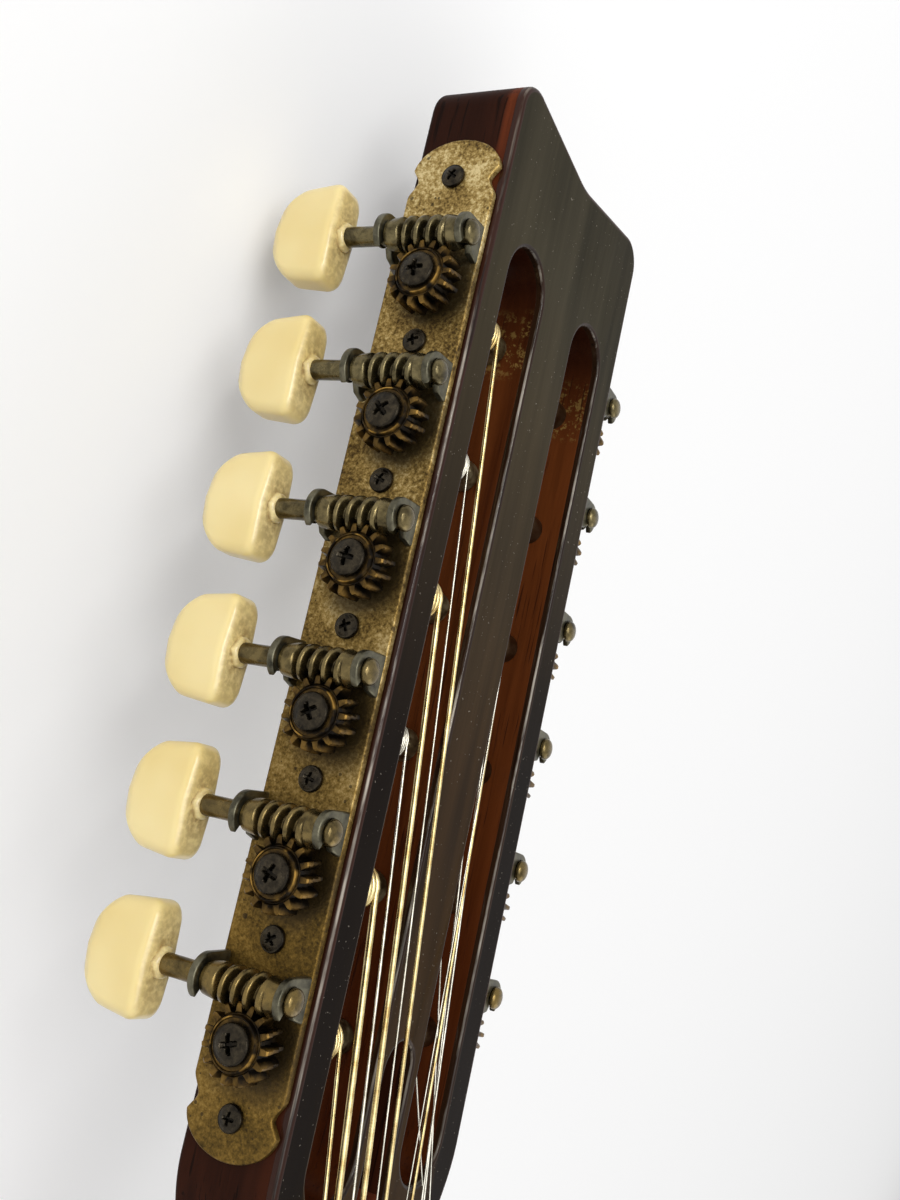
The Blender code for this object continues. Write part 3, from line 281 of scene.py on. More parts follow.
def smoothStep(low, high, value):
    share = np.clip((value - low) / (high - low), 0, 1)
    return share * share * (3 - 2 * share)


# Finishes

def linear(*levels):
    # Screen levels of 0 to 255 as the linear colour that Blender stores
    shares = [level / 255 for level in levels]
    return tuple(v / 12.92 if v <= 0.04045 else ((v + 0.055) / 1.055) ** 2.4 for v in shares) + (1.0,)


work = {}  # holds the node tree that the helpers below add to


def addNode(kind, inputs=(), **settings):
    made = work["tree"].nodes.new(kind)
    for key, value in settings.items():
        setattr(made, key, value)
    for key, value in dict(inputs).items():
        if isinstance(value, bpy.types.NodeSocket):
            work["tree"].links.new(value, made.inputs[key])
        else:
            made.inputs[key].default_value = value
    return made


def newFinish(name, roughness=0.5, metallic=0.0, **sockets):
    finish = bpy.data.materials.new(name)
    finish.use_nodes = True
    work["tree"] = finish.node_tree
    shader = finish.node_tree.nodes["Principled BSDF"]
    shader.inputs["Roughness"].default_value = roughness
    shader.inputs["Metallic"].default_value = metallic
    for key, value in sockets.items():
        shader.inputs[key.replace("_", " ")].default_value = value
    return finish, shader


def linkTo(output, node, socket):
    work["tree"].links.new(output, node.inputs[socket])


def coordinates(turn=(0, 0, 0), stretch=(1, 1, 1)):
    # Turned into the frame of the piece first, then stretched along its axes
    place = addNode("ShaderNodeTexCoord")
    return addNode("ShaderNodeMapping", {"Vector": place.outputs["Object"], "Rotation": turn,
        "Scale": tuple(1 / size for size in stretch)}, vector_type="TEXTURE").outputs["Vector"]


def noise(vector, scale, detail=4.0, roughness=0.55, distortion=0.0):
    return addNode("ShaderNodeTexNoise", {"Vector": vector, "Scale": scale, "Detail": detail,
        "Roughness": roughness, "Distortion": distortion}).outputs["Fac"]


def ramp(factor, stops):
    # stops: (place, colour) from low to high
    made = addNode("ShaderNodeValToRGB", {"Fac": factor})
    elements = made.color_ramp.elements
    while len(elements) < len(stops):
        elements.new(0.5)
    for element, (place, colour) in zip(elements, stops):
        element.position = place
        element.color = colour
    return made.outputs["Color"]


def mixColour(factor, first, second):
    return addNode("ShaderNodeMix", {0: factor, 6: first, 7: second}, data_type="RGBA").outputs[2]


def rangeOf(value, low, high, toLow=0.0, toHigh=1.0):
    return addNode("ShaderNodeMapRange", {"Value": value, "From Min": low, "From Max": high, "To Min": toLow,
        "To Max": toHigh}).outputs["Result"]


def math2(operation, first, second=0.0):
    return addNode("ShaderNodeMath", {0: first, 1: second}, operation=operation).outputs[0]


def times(first, second):
    return math2("MULTIPLY", first, second)


def plus(first, second):
    return math2("ADD", first, second)


def minus(first, second):
    return math2("SUBTRACT", first, second)


def wearOf():
    return addNode("ShaderNodeAttribute", attribute_name="wear").outputs["Fac"]


def bump(shader, height, strength, distance):
    made = addNode("ShaderNodeBump", {"Height": height, "Strength": strength, "Distance": distance})
    linkTo(made.outputs["Normal"], shader, "Normal")


headAlongAxis = (0, math.cos(headTurn), -math.sin(headTurn))
headOutAxis = (0, math.sin(headTurn), math.cos(headTurn))


def headMeasure(axis):
    # Distance of the shaded place from the head's origin, in metres, along one of the head's axes
    place = addNode("ShaderNodeTexCoord").outputs["Object"]
    dot = addNode("ShaderNodeVectorMath", {0: place, 1: axis}, operation="DOT_PRODUCT").outputs["Value"]
    return minus(dot, float(np.dot(headOrigin, axis)))


def band(value, low, high, soft):
    # One between low and high, fading to nothing over the soft width
    rise = rangeOf(value, low - soft, low)
    fall = rangeOf(value, high, high + soft, 1.0, 0.0)
    return times(rise, fall)


def woodFinish(name, dark, light, poreColour, turn, grainScale=260, gloss=0.18, coat=0.25, poreDepth=0.25,
        change=None, shine=0.2, length=0.045, pore=0.75):
    # Long streaks of two tones, with short dark pores under a clear coat
    dark, light, poreColour = (linear(*tone) for tone in (dark, light, poreColour))
    finish, shader = newFinish(name, roughness=0.42, Coat_Weight=coat, Coat_Roughness=gloss,
        Specular_IOR_Level=shine)
    along = coordinates(turn, (1, length, 1))
    streaks = noise(along, grainScale, 6, 0.62, 0.35)
    broad = noise(along, grainScale * 0.16, 3, 0.5, 0.6)
    both = plus(times(streaks, 0.6), times(broad, 0.4))
    colour = ramp(both, ((0.30, dark), (0.50, tuple((a + b) / 2 for a, b in zip(dark, light))),
        (0.70, light)))
    pores = noise(coordinates(turn, (1, length * 0.8, 1)), grainScale * 5, 2, 0.5)
    poreMask = rangeOf(pores, 0.60, 0.68, 0, pore)
    if change:
        colour = change(colour, streaks)
    linkTo(mixColour(poreMask, colour, poreColour), shader, "Base Color")
    linkTo(rangeOf(streaks, 0.2, 0.8, 0.34, 0.52), shader, "Roughness")
    bump(shader, minus(streaks, poreMask), poreDepth, 0.0002)
    return finish


alongHead = (-headTurn, 0, 0)
alongBody = (-neckSlope, 0, 0)


def edgeGlow(colour, streaks):
    # Where the lacquer is thin beside the face, orange wood shows, strongest at the tip
    strip = band(headMeasure(headOutAxis), -0.0028, -0.0017, 0.0011)
    reach = rangeOf(headMeasure(headAlongAxis), 0.178, 0.208, 0.15, 1.0)
    patch = rangeOf(streaks, 0.34, 0.60, 0.45, 1.0)
    mask = times(times(strip, reach), patch)
    return mixColour(times(mask, 0.75), colour, linear(104, 48, 24))


def slotShade(colour, streaks):
    # The slots' round tip ends are darkened with painted shade, with rough bare wood below the shaded ends in
    # places; the walls also turn darker towards the nut
    along = headMeasure(headAlongAxis)
    dark = rangeOf(along, 0.166, 0.184, 0.0, 0.85)
    rough = noise(coordinates(), 700, 4, 0.7)
    bare = times(band(along, 0.1690, 0.1780, 0.003), rangeOf(rough, 0.52, 0.60, 0, 0.7))
    colour = mixColour(bare, colour, linear(150, 122, 66))
    low = rangeOf(along, 0.060, 0.115, 0.5, 0.0)
    colour = mixColour(low, colour, linear(44, 8, 1))
    # Painted shade in the round tip ends of the slots
    return mixColour(dark, colour, linear(30, 10, 5))


def paintedEdgeHighlight(colour, streaks):
    # A thin painted highlight line on the rounded edge of the face, broken up, and longest halfway along the
    # head
    line = band(headMeasure(headOutAxis), -0.00050, -0.00028, 0.00014)
    broken = noise(coordinates(alongHead, (1, 0.12, 1)), 340, 4, 0.7)
    middle = band(headMeasure(headAlongAxis), 0.075, 0.150, 0.05)
    reach = times(rangeOf(broken, 0.42, 0.62), plus(times(middle, 0.55), 0.2))
    # The pale line is a painted highlight of the lacquered edge
    return mixColour(times(line, reach), colour, linear(206, 196, 180))


headWood = woodFinish("head_wood", (26, 11, 6), (58, 28, 16), (16, 7, 4), alongHead, gloss=0.12, coat=0.06,
    change=edgeGlow, shine=0.01)
slotWood = woodFinish("slot_wood", (56, 24, 8), (104, 54, 22), (38, 14, 6), alongHead, grainScale=420,
    gloss=0.2, coat=0.05, poreDepth=0.2, change=slotShade, shine=0.04)
bodyWood = woodFinish("body_wood", (60, 22, 12), (122, 58, 32), (30, 11, 7), alongBody, grainScale=190)
neckWood = woodFinish("neck_wood", (58, 24, 14), (112, 56, 32), (30, 12, 8), alongBody, grainScale=240,
    gloss=0.22)
rosewood = woodFinish("dark_rosewood", (38, 22, 16), (78, 46, 32), (18, 10, 8), alongBody, grainScale=300,
    gloss=0.45, coat=0.15, poreDepth=0.5)


def faceFinish():
    # Near-black lacquered overlay with faint streaks, haze and a few pale dust marks
    finish, shader = newFinish("face_lacquer", Specular_IOR_Level=0.01, Coat_Weight=0.05, Coat_Roughness=0.16)
    streaks = noise(coordinates(alongHead, (1, 0.05, 1)), 230, 5, 0.6, 0.3)
    cloud = noise(coordinates(alongHead, (1, 0.6, 1)), 24, 2, 0.5)
    both = plus(times(streaks, 0.5), times(cloud, 0.5))
    # Painted reflection: greyer towards the tip, where more of the room shows in the lacquer, and browner
    # towards the nut, where less of it shows
    fade = rangeOf(headMeasure(headAlongAxis), 0.09, 0.19)
    low = ramp(both, ((0.36, linear(36, 25, 13)), (0.64, linear(62, 44, 24))))
    high = ramp(both, ((0.36, linear(42, 38, 26)), (0.64, linear(68, 62, 47))))
    colour = mixColour(fade, low, high)
    # Painted shade: the rails outside the slots are nearly black over the lower half of the head, where their
    # lacquer reflects little light
    place = addNode("ShaderNodeTexCoord").outputs["Object"]
    side = math2("ABSOLUTE", addNode("ShaderNodeSeparateXYZ", {"Vector": place}).outputs["X"])
    rail = times(rangeOf(side, 0.0205, 0.0240), rangeOf(headMeasure(headAlongAxis), 0.095, 0.165, 0.92, 0.15))
    colour = mixColour(rail, colour, linear(13, 8, 6))
    dust = rangeOf(noise(coordinates(), 1900, 1, 0.4), 0.75, 0.78, 0, 0.35)
    linkTo(mixColour(dust, colour, linear(190, 180, 165)), shader, "Base Color")
    haze = noise(coordinates(alongHead, (1, 0.5, 1)), 60, 3, 0.5)
    linkTo(rangeOf(haze, 0.3, 0.7, 0.30, 0.48), shader, "Roughness")
    bump(shader, streaks, 0.12, 0.0002)
    return finish


def gearDarkening(patches):
    # Darker round every gear: strong under its rim, gone a few millimetres further out
    along = minus(headMeasure(headAlongAxis), guitarSizes["firstRoller"])
    steps = math2("MINIMUM", math2("DIVIDE", along, guitarSizes["rollerSpacing"]), 0.0)
    nearest = times(math2("ROUND", math2("MAXIMUM", steps, -5.0)), guitarSizes["rollerSpacing"])
    aside = plus(headMeasure(headOutAxis), gearDepth)
    away = math2("SQRT", plus(math2("POWER", minus(along, nearest), 2.0), math2("POWER", aside, 2.0)))
    ragged = plus(away, times(patches, -0.008))
    return rangeOf(ragged, 0.0022, 0.0058, 0.85, 0.0)


def plateFinish():
    # Nickelled brass gone patchy: speckled metal and dark pits, paler towards the tip as painted light and
    # darker olive towards the nut as painted shade
    finish, shader = newFinish("aged_plate", metallic=0.85)
    place = coordinates()
    patches = noise(place, 110, 5, 0.62, 0.4)
    speckle = noise(place, 1300, 4, 0.75)
    both = plus(times(patches, 0.45), times(speckle, 0.55))
    pale = ramp(both, ((0.38, linear(66, 48, 20)), (0.45, linear(122, 98, 50)), (0.52, linear(166, 140, 82)),
        (0.60, linear(214, 194, 142))))
    olive = ramp(both, ((0.36, linear(48, 36, 12)), (0.46, linear(86, 66, 24)), (0.56, linear(116, 90, 38)),
        (0.66, linear(146, 118, 60))))
    # Painted light and shade along the plate: paler at the tip end, darker olive at the nut end
    fade = rangeOf(headMeasure(headAlongAxis), 0.060, 0.185)
    colour = mixColour(fade, olive, pale)
    pits = addNode("ShaderNodeTexVoronoi", {"Vector": place, "Scale": 620.0, "Randomness": 1.0})
    size = rangeOf(noise(place, 150, 3, 0.6), 0.45, 0.70, 0.02, 0.30)
    pit = math2("LESS_THAN", pits.outputs["Distance"], size)
    grime = math2("MAXIMUM", times(pit, 0.75), wearOf())
    # Darker round every gear, strongest under its rim, as well as in the pits
    grime = math2("MAXIMUM", grime, gearDarkening(patches))
    linkTo(mixColour(grime, colour, linear(46, 36, 20)), shader, "Base Color")
    linkTo(rangeOf(both, 0.3, 0.65, 0.58, 0.34), shader, "Roughness")
    bump(shader, minus(speckle, pit), 0.5, 0.00025)
    return finish


def metalFinish(name, dark, light, grimeColour, roughness=(0.3, 0.5), scale=400, wearTo=0.9, change=None,
        dents=0.25):
    # Two tones of metal; grime gathers where the wear attribute is high
    dark, light, grimeColour = (linear(*tone) for tone in (dark, light, grimeColour))
    finish, shader = newFinish(name, metallic=0.9)
    place = coordinates()
    stains = noise(place, scale, 5, 0.65, 0.3)
    colour = ramp(stains, ((0.32, dark), (0.62, light)))
    if change:
        colour = change(colour, stains)
    grime = times(wearOf(), rangeOf(stains, 0.3, 0.7, wearTo, wearTo * 0.75))
    linkTo(mixColour(grime, colour, grimeColour), shader, "Base Color")
    linkTo(rangeOf(stains, 0.3, 0.7, roughness[0], roughness[1]), shader, "Roughness")
    bump(shader, stains, dents, 0.00015)
    return finish


def brassTint(colour, stains):
    # More brass shows through the plating towards the nut
    fade = rangeOf(headMeasure(headAlongAxis), 0.030, 0.150, 0.75, 0.0)
    amount = times(fade, rangeOf(stains, 0.36, 0.58, 0.3, 1.0))
    return mixColour(amount, colour, linear(128, 102, 48))


def rollerShade(colour, stains):
    # Inside the head the roller is pale nickel, browned beside the walls of the slot
    place = addNode("ShaderNodeTexCoord").outputs["Object"]
    side = addNode("ShaderNodeSeparateXYZ", {"Vector": place}).outputs["X"]
    out = math2("ABSOLUTE", side)
    nickel = ramp(stains, ((0.36, linear(70, 54, 30)), (0.50, linear(118, 104, 72)),
        (0.64, linear(160, 150, 118))))
    brown = rangeOf(plus(out, times(stains, 0.003)), 0.0175, 0.0215, 0.0, 0.85)
    nickel = mixColour(brown, nickel, linear(66, 36, 16))
    return mixColour(rangeOf(out, 0.0300, 0.0304), nickel, colour)


plateMetal = plateFinish()
gearBrass = metalFinish("gear_brass", (92, 68, 26), (178, 138, 66), (22, 17, 11), wearTo=1.15,
    change=rollerShade)
wormMetal = metalFinish("worm_metal", (52, 46, 30), (124, 112, 78), (20, 16, 10), roughness=(0.16, 0.34),
    change=brassTint, dents=0.4)
lugMetal = metalFinish("lug_metal", (52, 50, 40), (106, 102, 84), (30, 26, 18), roughness=(0.26, 0.46))
screwMetal = metalFinish("screw_metal", (24, 21, 17), (62, 55, 43), (10, 8, 6), roughness=(0.16, 0.34),
    scale=700, dents=0.9)
fretMetal = metalFinish("fret_metal", (140, 135, 118), (196, 192, 178), (90, 80, 60), roughness=(0.2, 0.32))


def buttonFinish():
    # Aged cream plastic: slightly cloudy, with yellow in the thin places
    finish, shader = newFinish("cream_plastic", roughness=0.3, Subsurface_Weight=0.15,
        Subsurface_Scale=0.003, Coat_Weight=0.25, Coat_Roughness=0.12)
    shader.inputs["Subsurface Radius"].default_value = (1.0, 0.75, 0.4)
    cloud = noise(coordinates(), 70, 2, 0.4)
    colour = ramp(cloud, ((0.3, linear(236, 212, 142)), (0.7, linear(246, 226, 164))))
    grime = times(wearOf(), rangeOf(noise(coordinates(), 900, 3), 0.35, 0.6, 0.2, 0.8))
    linkTo(mixColour(grime, colour, linear(132, 98, 48)), shader, "Base Color")
    bump(shader, noise(coordinates(), 700, 2), 0.04, 0.0002)
    return finish


def wireFinish(name, dark, light, pitch):
    # Windings as fine rings along the wire, from the distance stored on it
    dark, light = linear(*dark), linear(*light)
    finish, shader = newFinish(name, metallic=0.95)
    run = wearOf()
    rings = math2("SINE", times(run, 2 * math.pi / pitch))
    stains = noise(coordinates(), 300, 3)
    colour = ramp(stains, ((0.35, dark), (0.65, light)))
    shade = rangeOf(rings, -1, 1, 0.12 if pitch < 0.01 else 0.0, 0.0)
    linkTo(mixColour(shade, colour, tuple(v * 0.3 for v in dark[:3]) + (1.0,)), shader, "Base Color")
    linkTo(rangeOf(stains, 0.3, 0.7, 0.22, 0.36), shader, "Roughness")
    return finish


creamPlastic = buttonFinish()
faceLacquer = faceFinish()
rimValues = {"gloss": 0.10, "coat": 0.30, "poreDepth": 0.1, "change": paintedEdgeHighlight, "shine": 0.02}
rimLacquer = woodFinish("rim_lacquer", (28, 14, 8), (62, 30, 18), (18, 9, 6), alongHead, **rimValues)
slotRim = woodFinish("slot_rim", (24, 15, 9), (50, 31, 18), (18, 9, 6), alongHead, **rimValues)
woundWire = wireFinish("wound_wire", (176, 150, 96), (232, 214, 158), pitch=0.0005)
plainWire = wireFinish("plain_wire", (176, 172, 158), (236, 232, 218), pitch=1.0)
topWood = woodFinish("spruce_top", (192, 128, 60), (224, 170, 98), (176, 114, 52), alongBody, grainScale=560,
    gloss=0.14, coat=0.3, poreDepth=0.05, shine=0.15, length=0.006, pore=0.3)
boardWood = woodFinish("board_rosewood", (34, 22, 17), (72, 46, 34), (16, 10, 8), alongBody, grainScale=300,
    gloss=0.5, coat=0.1, poreDepth=0.5)
innerValues = {"gloss": 0.5, "coat": 0.0, "poreDepth": 0.2}
bareWood = woodFinish("bare_inner_wood", (190, 150, 98), (222, 188, 136), (150, 110, 66), alongBody,
    grainScale=300, **innerValues)
blockWood = woodFinish("block_wood", (120, 70, 40), (168, 110, 70), (90, 50, 28), alongBody, **innerValues)
plateWood = woodFinish("bridge_plate_wood", (150, 104, 66), (190, 144, 98), (120, 80, 46),
    (-neckSlope, 0, math.pi / 2), grainScale=300, **innerValues)
rodSteel = metalFinish("rod_steel", (120, 112, 96), (176, 168, 148), (60, 50, 36), roughness=(0.25, 0.45))


def plasticFinish(name, dark, light, roughness=0.25, scale=90, coat=0.4, shine=0.5):
    # Two close tones in soft clouds
    finish, shader = newFinish(name, roughness=roughness, Coat_Weight=coat, Coat_Roughness=0.1,
        Specular_IOR_Level=shine)
    cloud = noise(coordinates(), scale, 3, 0.5)
    linkTo(ramp(cloud, ((0.35, linear(*dark)), (0.65, linear(*light)))), shader, "Base Color")
    bump(shader, cloud, 0.05, 0.0002)
    return finish


bindingPlastic = plasticFinish("binding_plastic", (222, 206, 160), (236, 224, 186))
blackLine = plasticFinish("black_line", (18, 14, 12), (30, 24, 20))
rosetteBand = plasticFinish("rosette_band", (60, 34, 18), (150, 96, 44), roughness=0.3, scale=700)
guardPlastic = plasticFinish("guard_plastic", (20, 10, 7), (78, 32, 15), roughness=0.3, scale=60, coat=0.1,
    shine=0.1)
boneFinish = plasticFinish("yellowed_bone", (150, 112, 48), (196, 160, 92), roughness=0.35, scale=160)
pinPlastic = plasticFinish("pin_plastic", (214, 192, 138), (232, 214, 164))
pearl = plasticFinish("pearl_dot", (206, 204, 196), (232, 230, 224), roughness=0.2, scale=500, coat=0.6)
print("finishes made")


# Camera, floor and light: the view of the photograph's lower left picture, enlarged to the whole frame

photoView = {
    "position": (-0.2029, 0.0804, 0.1012),
    "forward": (0.8609, 0.1883, -0.4726),
    "right": (0.4342, 0.2121, 0.8755),
    "focalPixels": 1246.9,
    "framePixels": 1200,
}


def setCamera():
    s = photoView
    forward = Vector(turned(s["forward"], headTurn)).normalized()
    right = Vector(turned(s["right"], headTurn))
    right = (right - forward * right.dot(forward)).normalized()
    up = right.cross(forward)
    data = bpy.data.cameras.new("camera")
    camera = addObject("camera", data)
    turn = Matrix((right, up, -forward)).transposed().to_4x4()
    camera.matrix_world = Matrix.Translation(inHead(s["position"])) @ turn
    data.sensor_fit = "VERTICAL"
    data.sensor_height = 36
    data.lens = 36 * s["focalPixels"] / s["framePixels"]
    data.clip_start = 0.01
    bpy.context.scene.camera = camera


stageValues = {
    "floorSize": 12.0,
    "floorColour": 0.82,
    "floorLift": 0.20,
    "worldLight": 0.45,
    "lamps": (
        # name, place, aims at, width, height, watts
        ("windowLamp", (-2.0, 1.2, 2.6), (0, 0.2, 0.05), 2.6, 2.6, 55.0),
        ("fillLamp", (2.2, -1.4, 2.6), (0, 0.0, 0.05), 2.6, 2.6, 26.0),
        ("glintLamp", (-1.27, 1.16, 1.14), (0, 0.43, 0.07), 0.9, 0.1, 7.0),
    ),
}


def seenClearly():
    # One for rays from the camera, and for those that a shiny or clear surface sends on
    ray = addNode("ShaderNodeLightPath").outputs
    return math2("MAXIMUM", ray["Is Camera Ray"],
        math2("MAXIMUM", ray["Is Glossy Ray"], ray["Is Transmission Ray"]))


def setStage():
    s = stageValues
    half = s["floorSize"] / 2
    mesh = bpy.data.meshes.new("floor")
    mesh.from_pydata([(-half, -half, -0.0002), (half, -half, -0.0002), (half, half, -0.0002),
        (-half, half, -0.0002)], [], [(0, 1, 2, 3)])
    floor = addObject("floor", mesh)
    # The floor looks a little lighter to the camera and in reflections, and keeps the shadow
    finish, shader = newFinish("pale_floor", roughness=0.9, Specular_IOR_Level=0.0)
    shader.inputs["Base Color"].default_value = (s["floorColour"],) * 3 + (1,)
    shader.inputs["Emission Color"].default_value = (1, 1, 1, 1)
    linkTo(times(seenClearly(), s["floorLift"]), shader, "Emission Strength")
    mesh.materials.append(finish)
    world = bpy.data.worlds.new("studio")
    bpy.context.scene.world = world
    world.use_nodes = True
    work["tree"] = world.node_tree
    background = world.node_tree.nodes["Background"]
    background.inputs["Color"].default_value = (1, 1, 1, 1)
    linkTo(rangeOf(seenClearly(), 0.0, 1.0, s["worldLight"], 1.0), background, "Strength")
    for name, place, aim, width, height, watts in s["lamps"]:
        data = bpy.data.lights.new(name, "AREA")
        data.shape = "RECTANGLE"
        data.size, data.size_y = width, height
        data.energy = watts
        lamp = addObject(name, data)
        lamp.location = place
        lamp.rotation_euler = (Vector(aim) - Vector(place)).to_track_quat("-Z", "Y").to_euler()


setCamera()
setStage()
print("camera and stage set")


# Head: one outline, two slots and the truss rod recess

headSizes = {
    "length": 0.2155,
    "notchDepth": 0.0048,
    "nutHalf": 0.0240,
    "flareLength": 0.026,
    "blockStart": 0.0110,
    "tipRadius": 0.0058,
    "vertexRadius": 0.020,
    "slotCentre": 0.0157,
    "slotHalf": 0.0078,
    "slotStart": 0.0200,
    "slotEnd": 0.1880,
    "recessHalf": 0.0050,
    "recessStart": 0.0012,
    "recessEnd": 0.0460,
    "recessDepth": 0.0112,
    "faceEdge": 0.0009,
    "backEdge": 0.0012,
    "slotEdge": 0.0006,
}


def headHalfAt(along):
    s = headSizes
    share = np.clip(along / s["flareLength"], 0, 1)
    return s["nutHalf"] + (headHalf - s["nutHalf"]) * (1 - np.cos(math.pi * share)) / 2


def neckHalfAt(y):
    nutHalf = headSizes["nutHalf"]
    return nutHalf + (guitarSizes["jointHalf"] - nutHalf) * (nutFront - y) / nutFront


def headOutline(start):
    # Flares out from the nut, runs straight, and ends in a shallow V with rounded corners
    s = headSizes
    along = np.linspace(start, s["flareLength"], 12)
    right = np.column_stack([headHalfAt(along), along])
    half = headHalf
    tip = roundCorners([(half, 0.15), (half, s["length"]), (0, s["length"] - s["notchDepth"]),
        (-half, s["length"]), (-half, 0.15)], [0, s["tipRadius"], s["vertexRadius"], s["tipRadius"], 0], 10,
        closed=False)
    left = right[::-1] * (-1, 1)
    return aroundMaterial(np.concatenate([right, tip, left]))


def stadium(centre, half, start, end, squareStart=False, steps=20):
    # A long hole with round ends
    turn = np.linspace(0, math.pi, steps)
    far = np.column_stack([centre + half * np.cos(turn), end - half + half * np.sin(turn)])
    near = np.column_stack([centre - half * np.cos(turn), start + half - half * np.sin(turn)])
    if squareStart:
        near = roundCorners([(centre - half, start + half), (centre - half, start), (centre + half, start),
            (centre + half, start + half)], [0, 0.001, 0.001, 0], 4, closed=False)
    return aroundMaterial(np.concatenate([far, near]), hole=True)


slotLoops = [stadium(side * headSizes["slotCentre"], headSizes["slotHalf"], headSizes["slotStart"],
    headSizes["slotEnd"]) for name, side in sides]
recessLoop = stadium(0, headSizes["recessHalf"], headSizes["recessStart"], headSizes["recessEnd"], True)

faceLoops = [headOutline(0.0006)] + slotLoops + [recessLoop]
makePiece("head_face", roundedSlab(faceLoops, -veneer, 0, 0.0, headSizes["faceEdge"], inHead,
    wallFinishes=[1, 2, 2, 2], holeEdge=(0.0, headSizes["slotEdge"])), [faceLacquer, rimLacquer, slotRim],
    replaces=["head_veneer"])


def headBlock():
    # Two layers with slots right through; the upper one is cut open for the truss rod recess
    s = headSizes
    outer, start = headOutline(s["blockStart"]), s["blockStart"]
    half = s["recessHalf"]
    turn = np.linspace(math.pi, 0, 20)
    roundEnd = np.column_stack([half * np.cos(turn), s["recessEnd"] - half + half * np.sin(turn)])
    inlet = np.concatenate([[(-half, start)], roundEnd, [(half, start)]])
    floor = -s["recessDepth"]
    lower = roundedSlab([outer] + slotLoops, -headThickness, floor, s["backEdge"], 0.0, inHead,
        wallFinishes=[0, 1, 1], holeEdge=(s["slotEdge"], 0.0))
    upper = roundedSlab([np.concatenate([outer, inlet])] + slotLoops, floor, -veneer - 0.00002, 0.0, 0.0001,
        inHead, wallFinishes=[0, 1, 1], holeEdge=(0.0, 0.00005))
    return lower + upper


def neckShaft(rows=26):
    # D-shaped sections from the heel to the head, worked out along the neck
    s = headSizes
    shaft = {"depthNut": 0.0205, "depthHeel": 0.0240, "heelLength": 0.078, "capLength": 0.012,
        "heelBottom": 0.103, "squareness": 0.16}
    y = np.concatenate([np.linspace(0.0003, shaft["heelLength"], rows),
        np.linspace(shaft["heelLength"], nutFront, 8)[1:]])
    half = neckHalfAt(y)
    fall = np.clip((y - shaft["capLength"]) / (shaft["heelLength"] - shaft["capLength"]), 0, 1)
    sweep = (1 - fall) ** 2.6
    towardNut = np.clip((y - shaft["heelLength"]) / (nutFront - shaft["heelLength"]), 0, 1)
    depth = shaft["depthHeel"] + (shaft["heelBottom"] - shaft["depthHeel"]) * sweep
    depth = depth + (shaft["depthNut"] - shaft["depthHeel"]) * towardNut
    turn = np.linspace(0, math.pi, 33)
    down = np.minimum(1, np.sin(turn) * (1 + 0.15 * sweep[:, None]))
    grid = stacked(-half[:, None] * np.cos(turn), y[:, None], -depth[:, None] * down)
    along = np.concatenate([[0.0009, 0.0012], np.linspace(0.002, 0.0195, 9)])
    blend = smoothStep(0.0, 0.0195, along)[:, None]
    halfHead = headHalfAt(along)[:, None]
    thick = headThickness - veneer
    roundX, roundZ = -halfHead * np.cos(turn), -0.0195 * np.sin(turn)
    boxX = -halfHead * np.sign(np.cos(turn)) * np.abs(np.cos(turn)) ** shaft["squareness"]
    boxZ = -thick * np.sin(turn) ** shaft["squareness"]
    x = roundX + (boxX - roundX) * blend
    z = roundZ + (boxZ - roundZ) * blend
    headPart = bodyFromHead(stacked(x, along[:, None], -veneer - 0.0001 + z))
    # The top of every section runs back through four more points, pressed down where the recess is
    pressed = np.where(along > 0.0011, s["recessDepth"] - veneer - 0.0003, 0)[:, None]
    width = (s["recessHalf"] - 0.0001) * np.array([1, 1, -1, -1])
    drop = np.array([0, 1, 1, 0]) * pressed
    channel = bodyFromHead(stacked(width, along[:, None], -veneer - 0.0001 - drop))
    level = stacked(width, y[:, None], 0.0)
    whole = np.concatenate([np.concatenate([grid, level], 1), np.concatenate([headPart, channel], 1)])
    return [gridSurface(inBody(whole), caps=("start", "end"), finish=2)]


makePiece("neck_and_head", headBlock() + neckShaft(), [headWood, slotWood, neckWood],
    replaces=["neck", "head"], angle=30)


def makeHeelCap():
    # Half an ellipse on the flat end of the heel
    cap = {"half": 0.0142, "length": 0.0128, "low": -0.1042, "high": -0.1027, "edge": 0.0005}
    turn = np.linspace(0, math.pi, 40)
    loop = np.column_stack([cap["half"] * np.cos(turn), 0.0006 + cap["length"] * np.sin(turn) ** 0.8])
    makePiece("heel_cap", roundedSlab([aroundMaterial(loop)], cap["low"], cap["high"], cap["edge"], 0.0,
        inBody, 3), [bindingPlastic])


makeHeelCap()
print("head made")


# Machine heads: plates with hooked lugs and screws, worms with buttons, rollers with gears

plateSizes = {"length": 0.174, "width": 0.0173, "frontEdge": 0.0011, "pastFirst": 0.0290,
    "screwDepth": 0.0097, "notchDepth": 0.0015, "earPlace": 0.0063, "notchFloor": 0.0016,
    "notchLength": 0.0050, "base": 0.0318, "thickness": 0.0012, "edge": 0.00035, "frontLug": 0.0034,
    "backLug": 0.0038, "lugThickness": 0.0013, "lugHollow": 0.00205, "screwRadius": 0.0022}


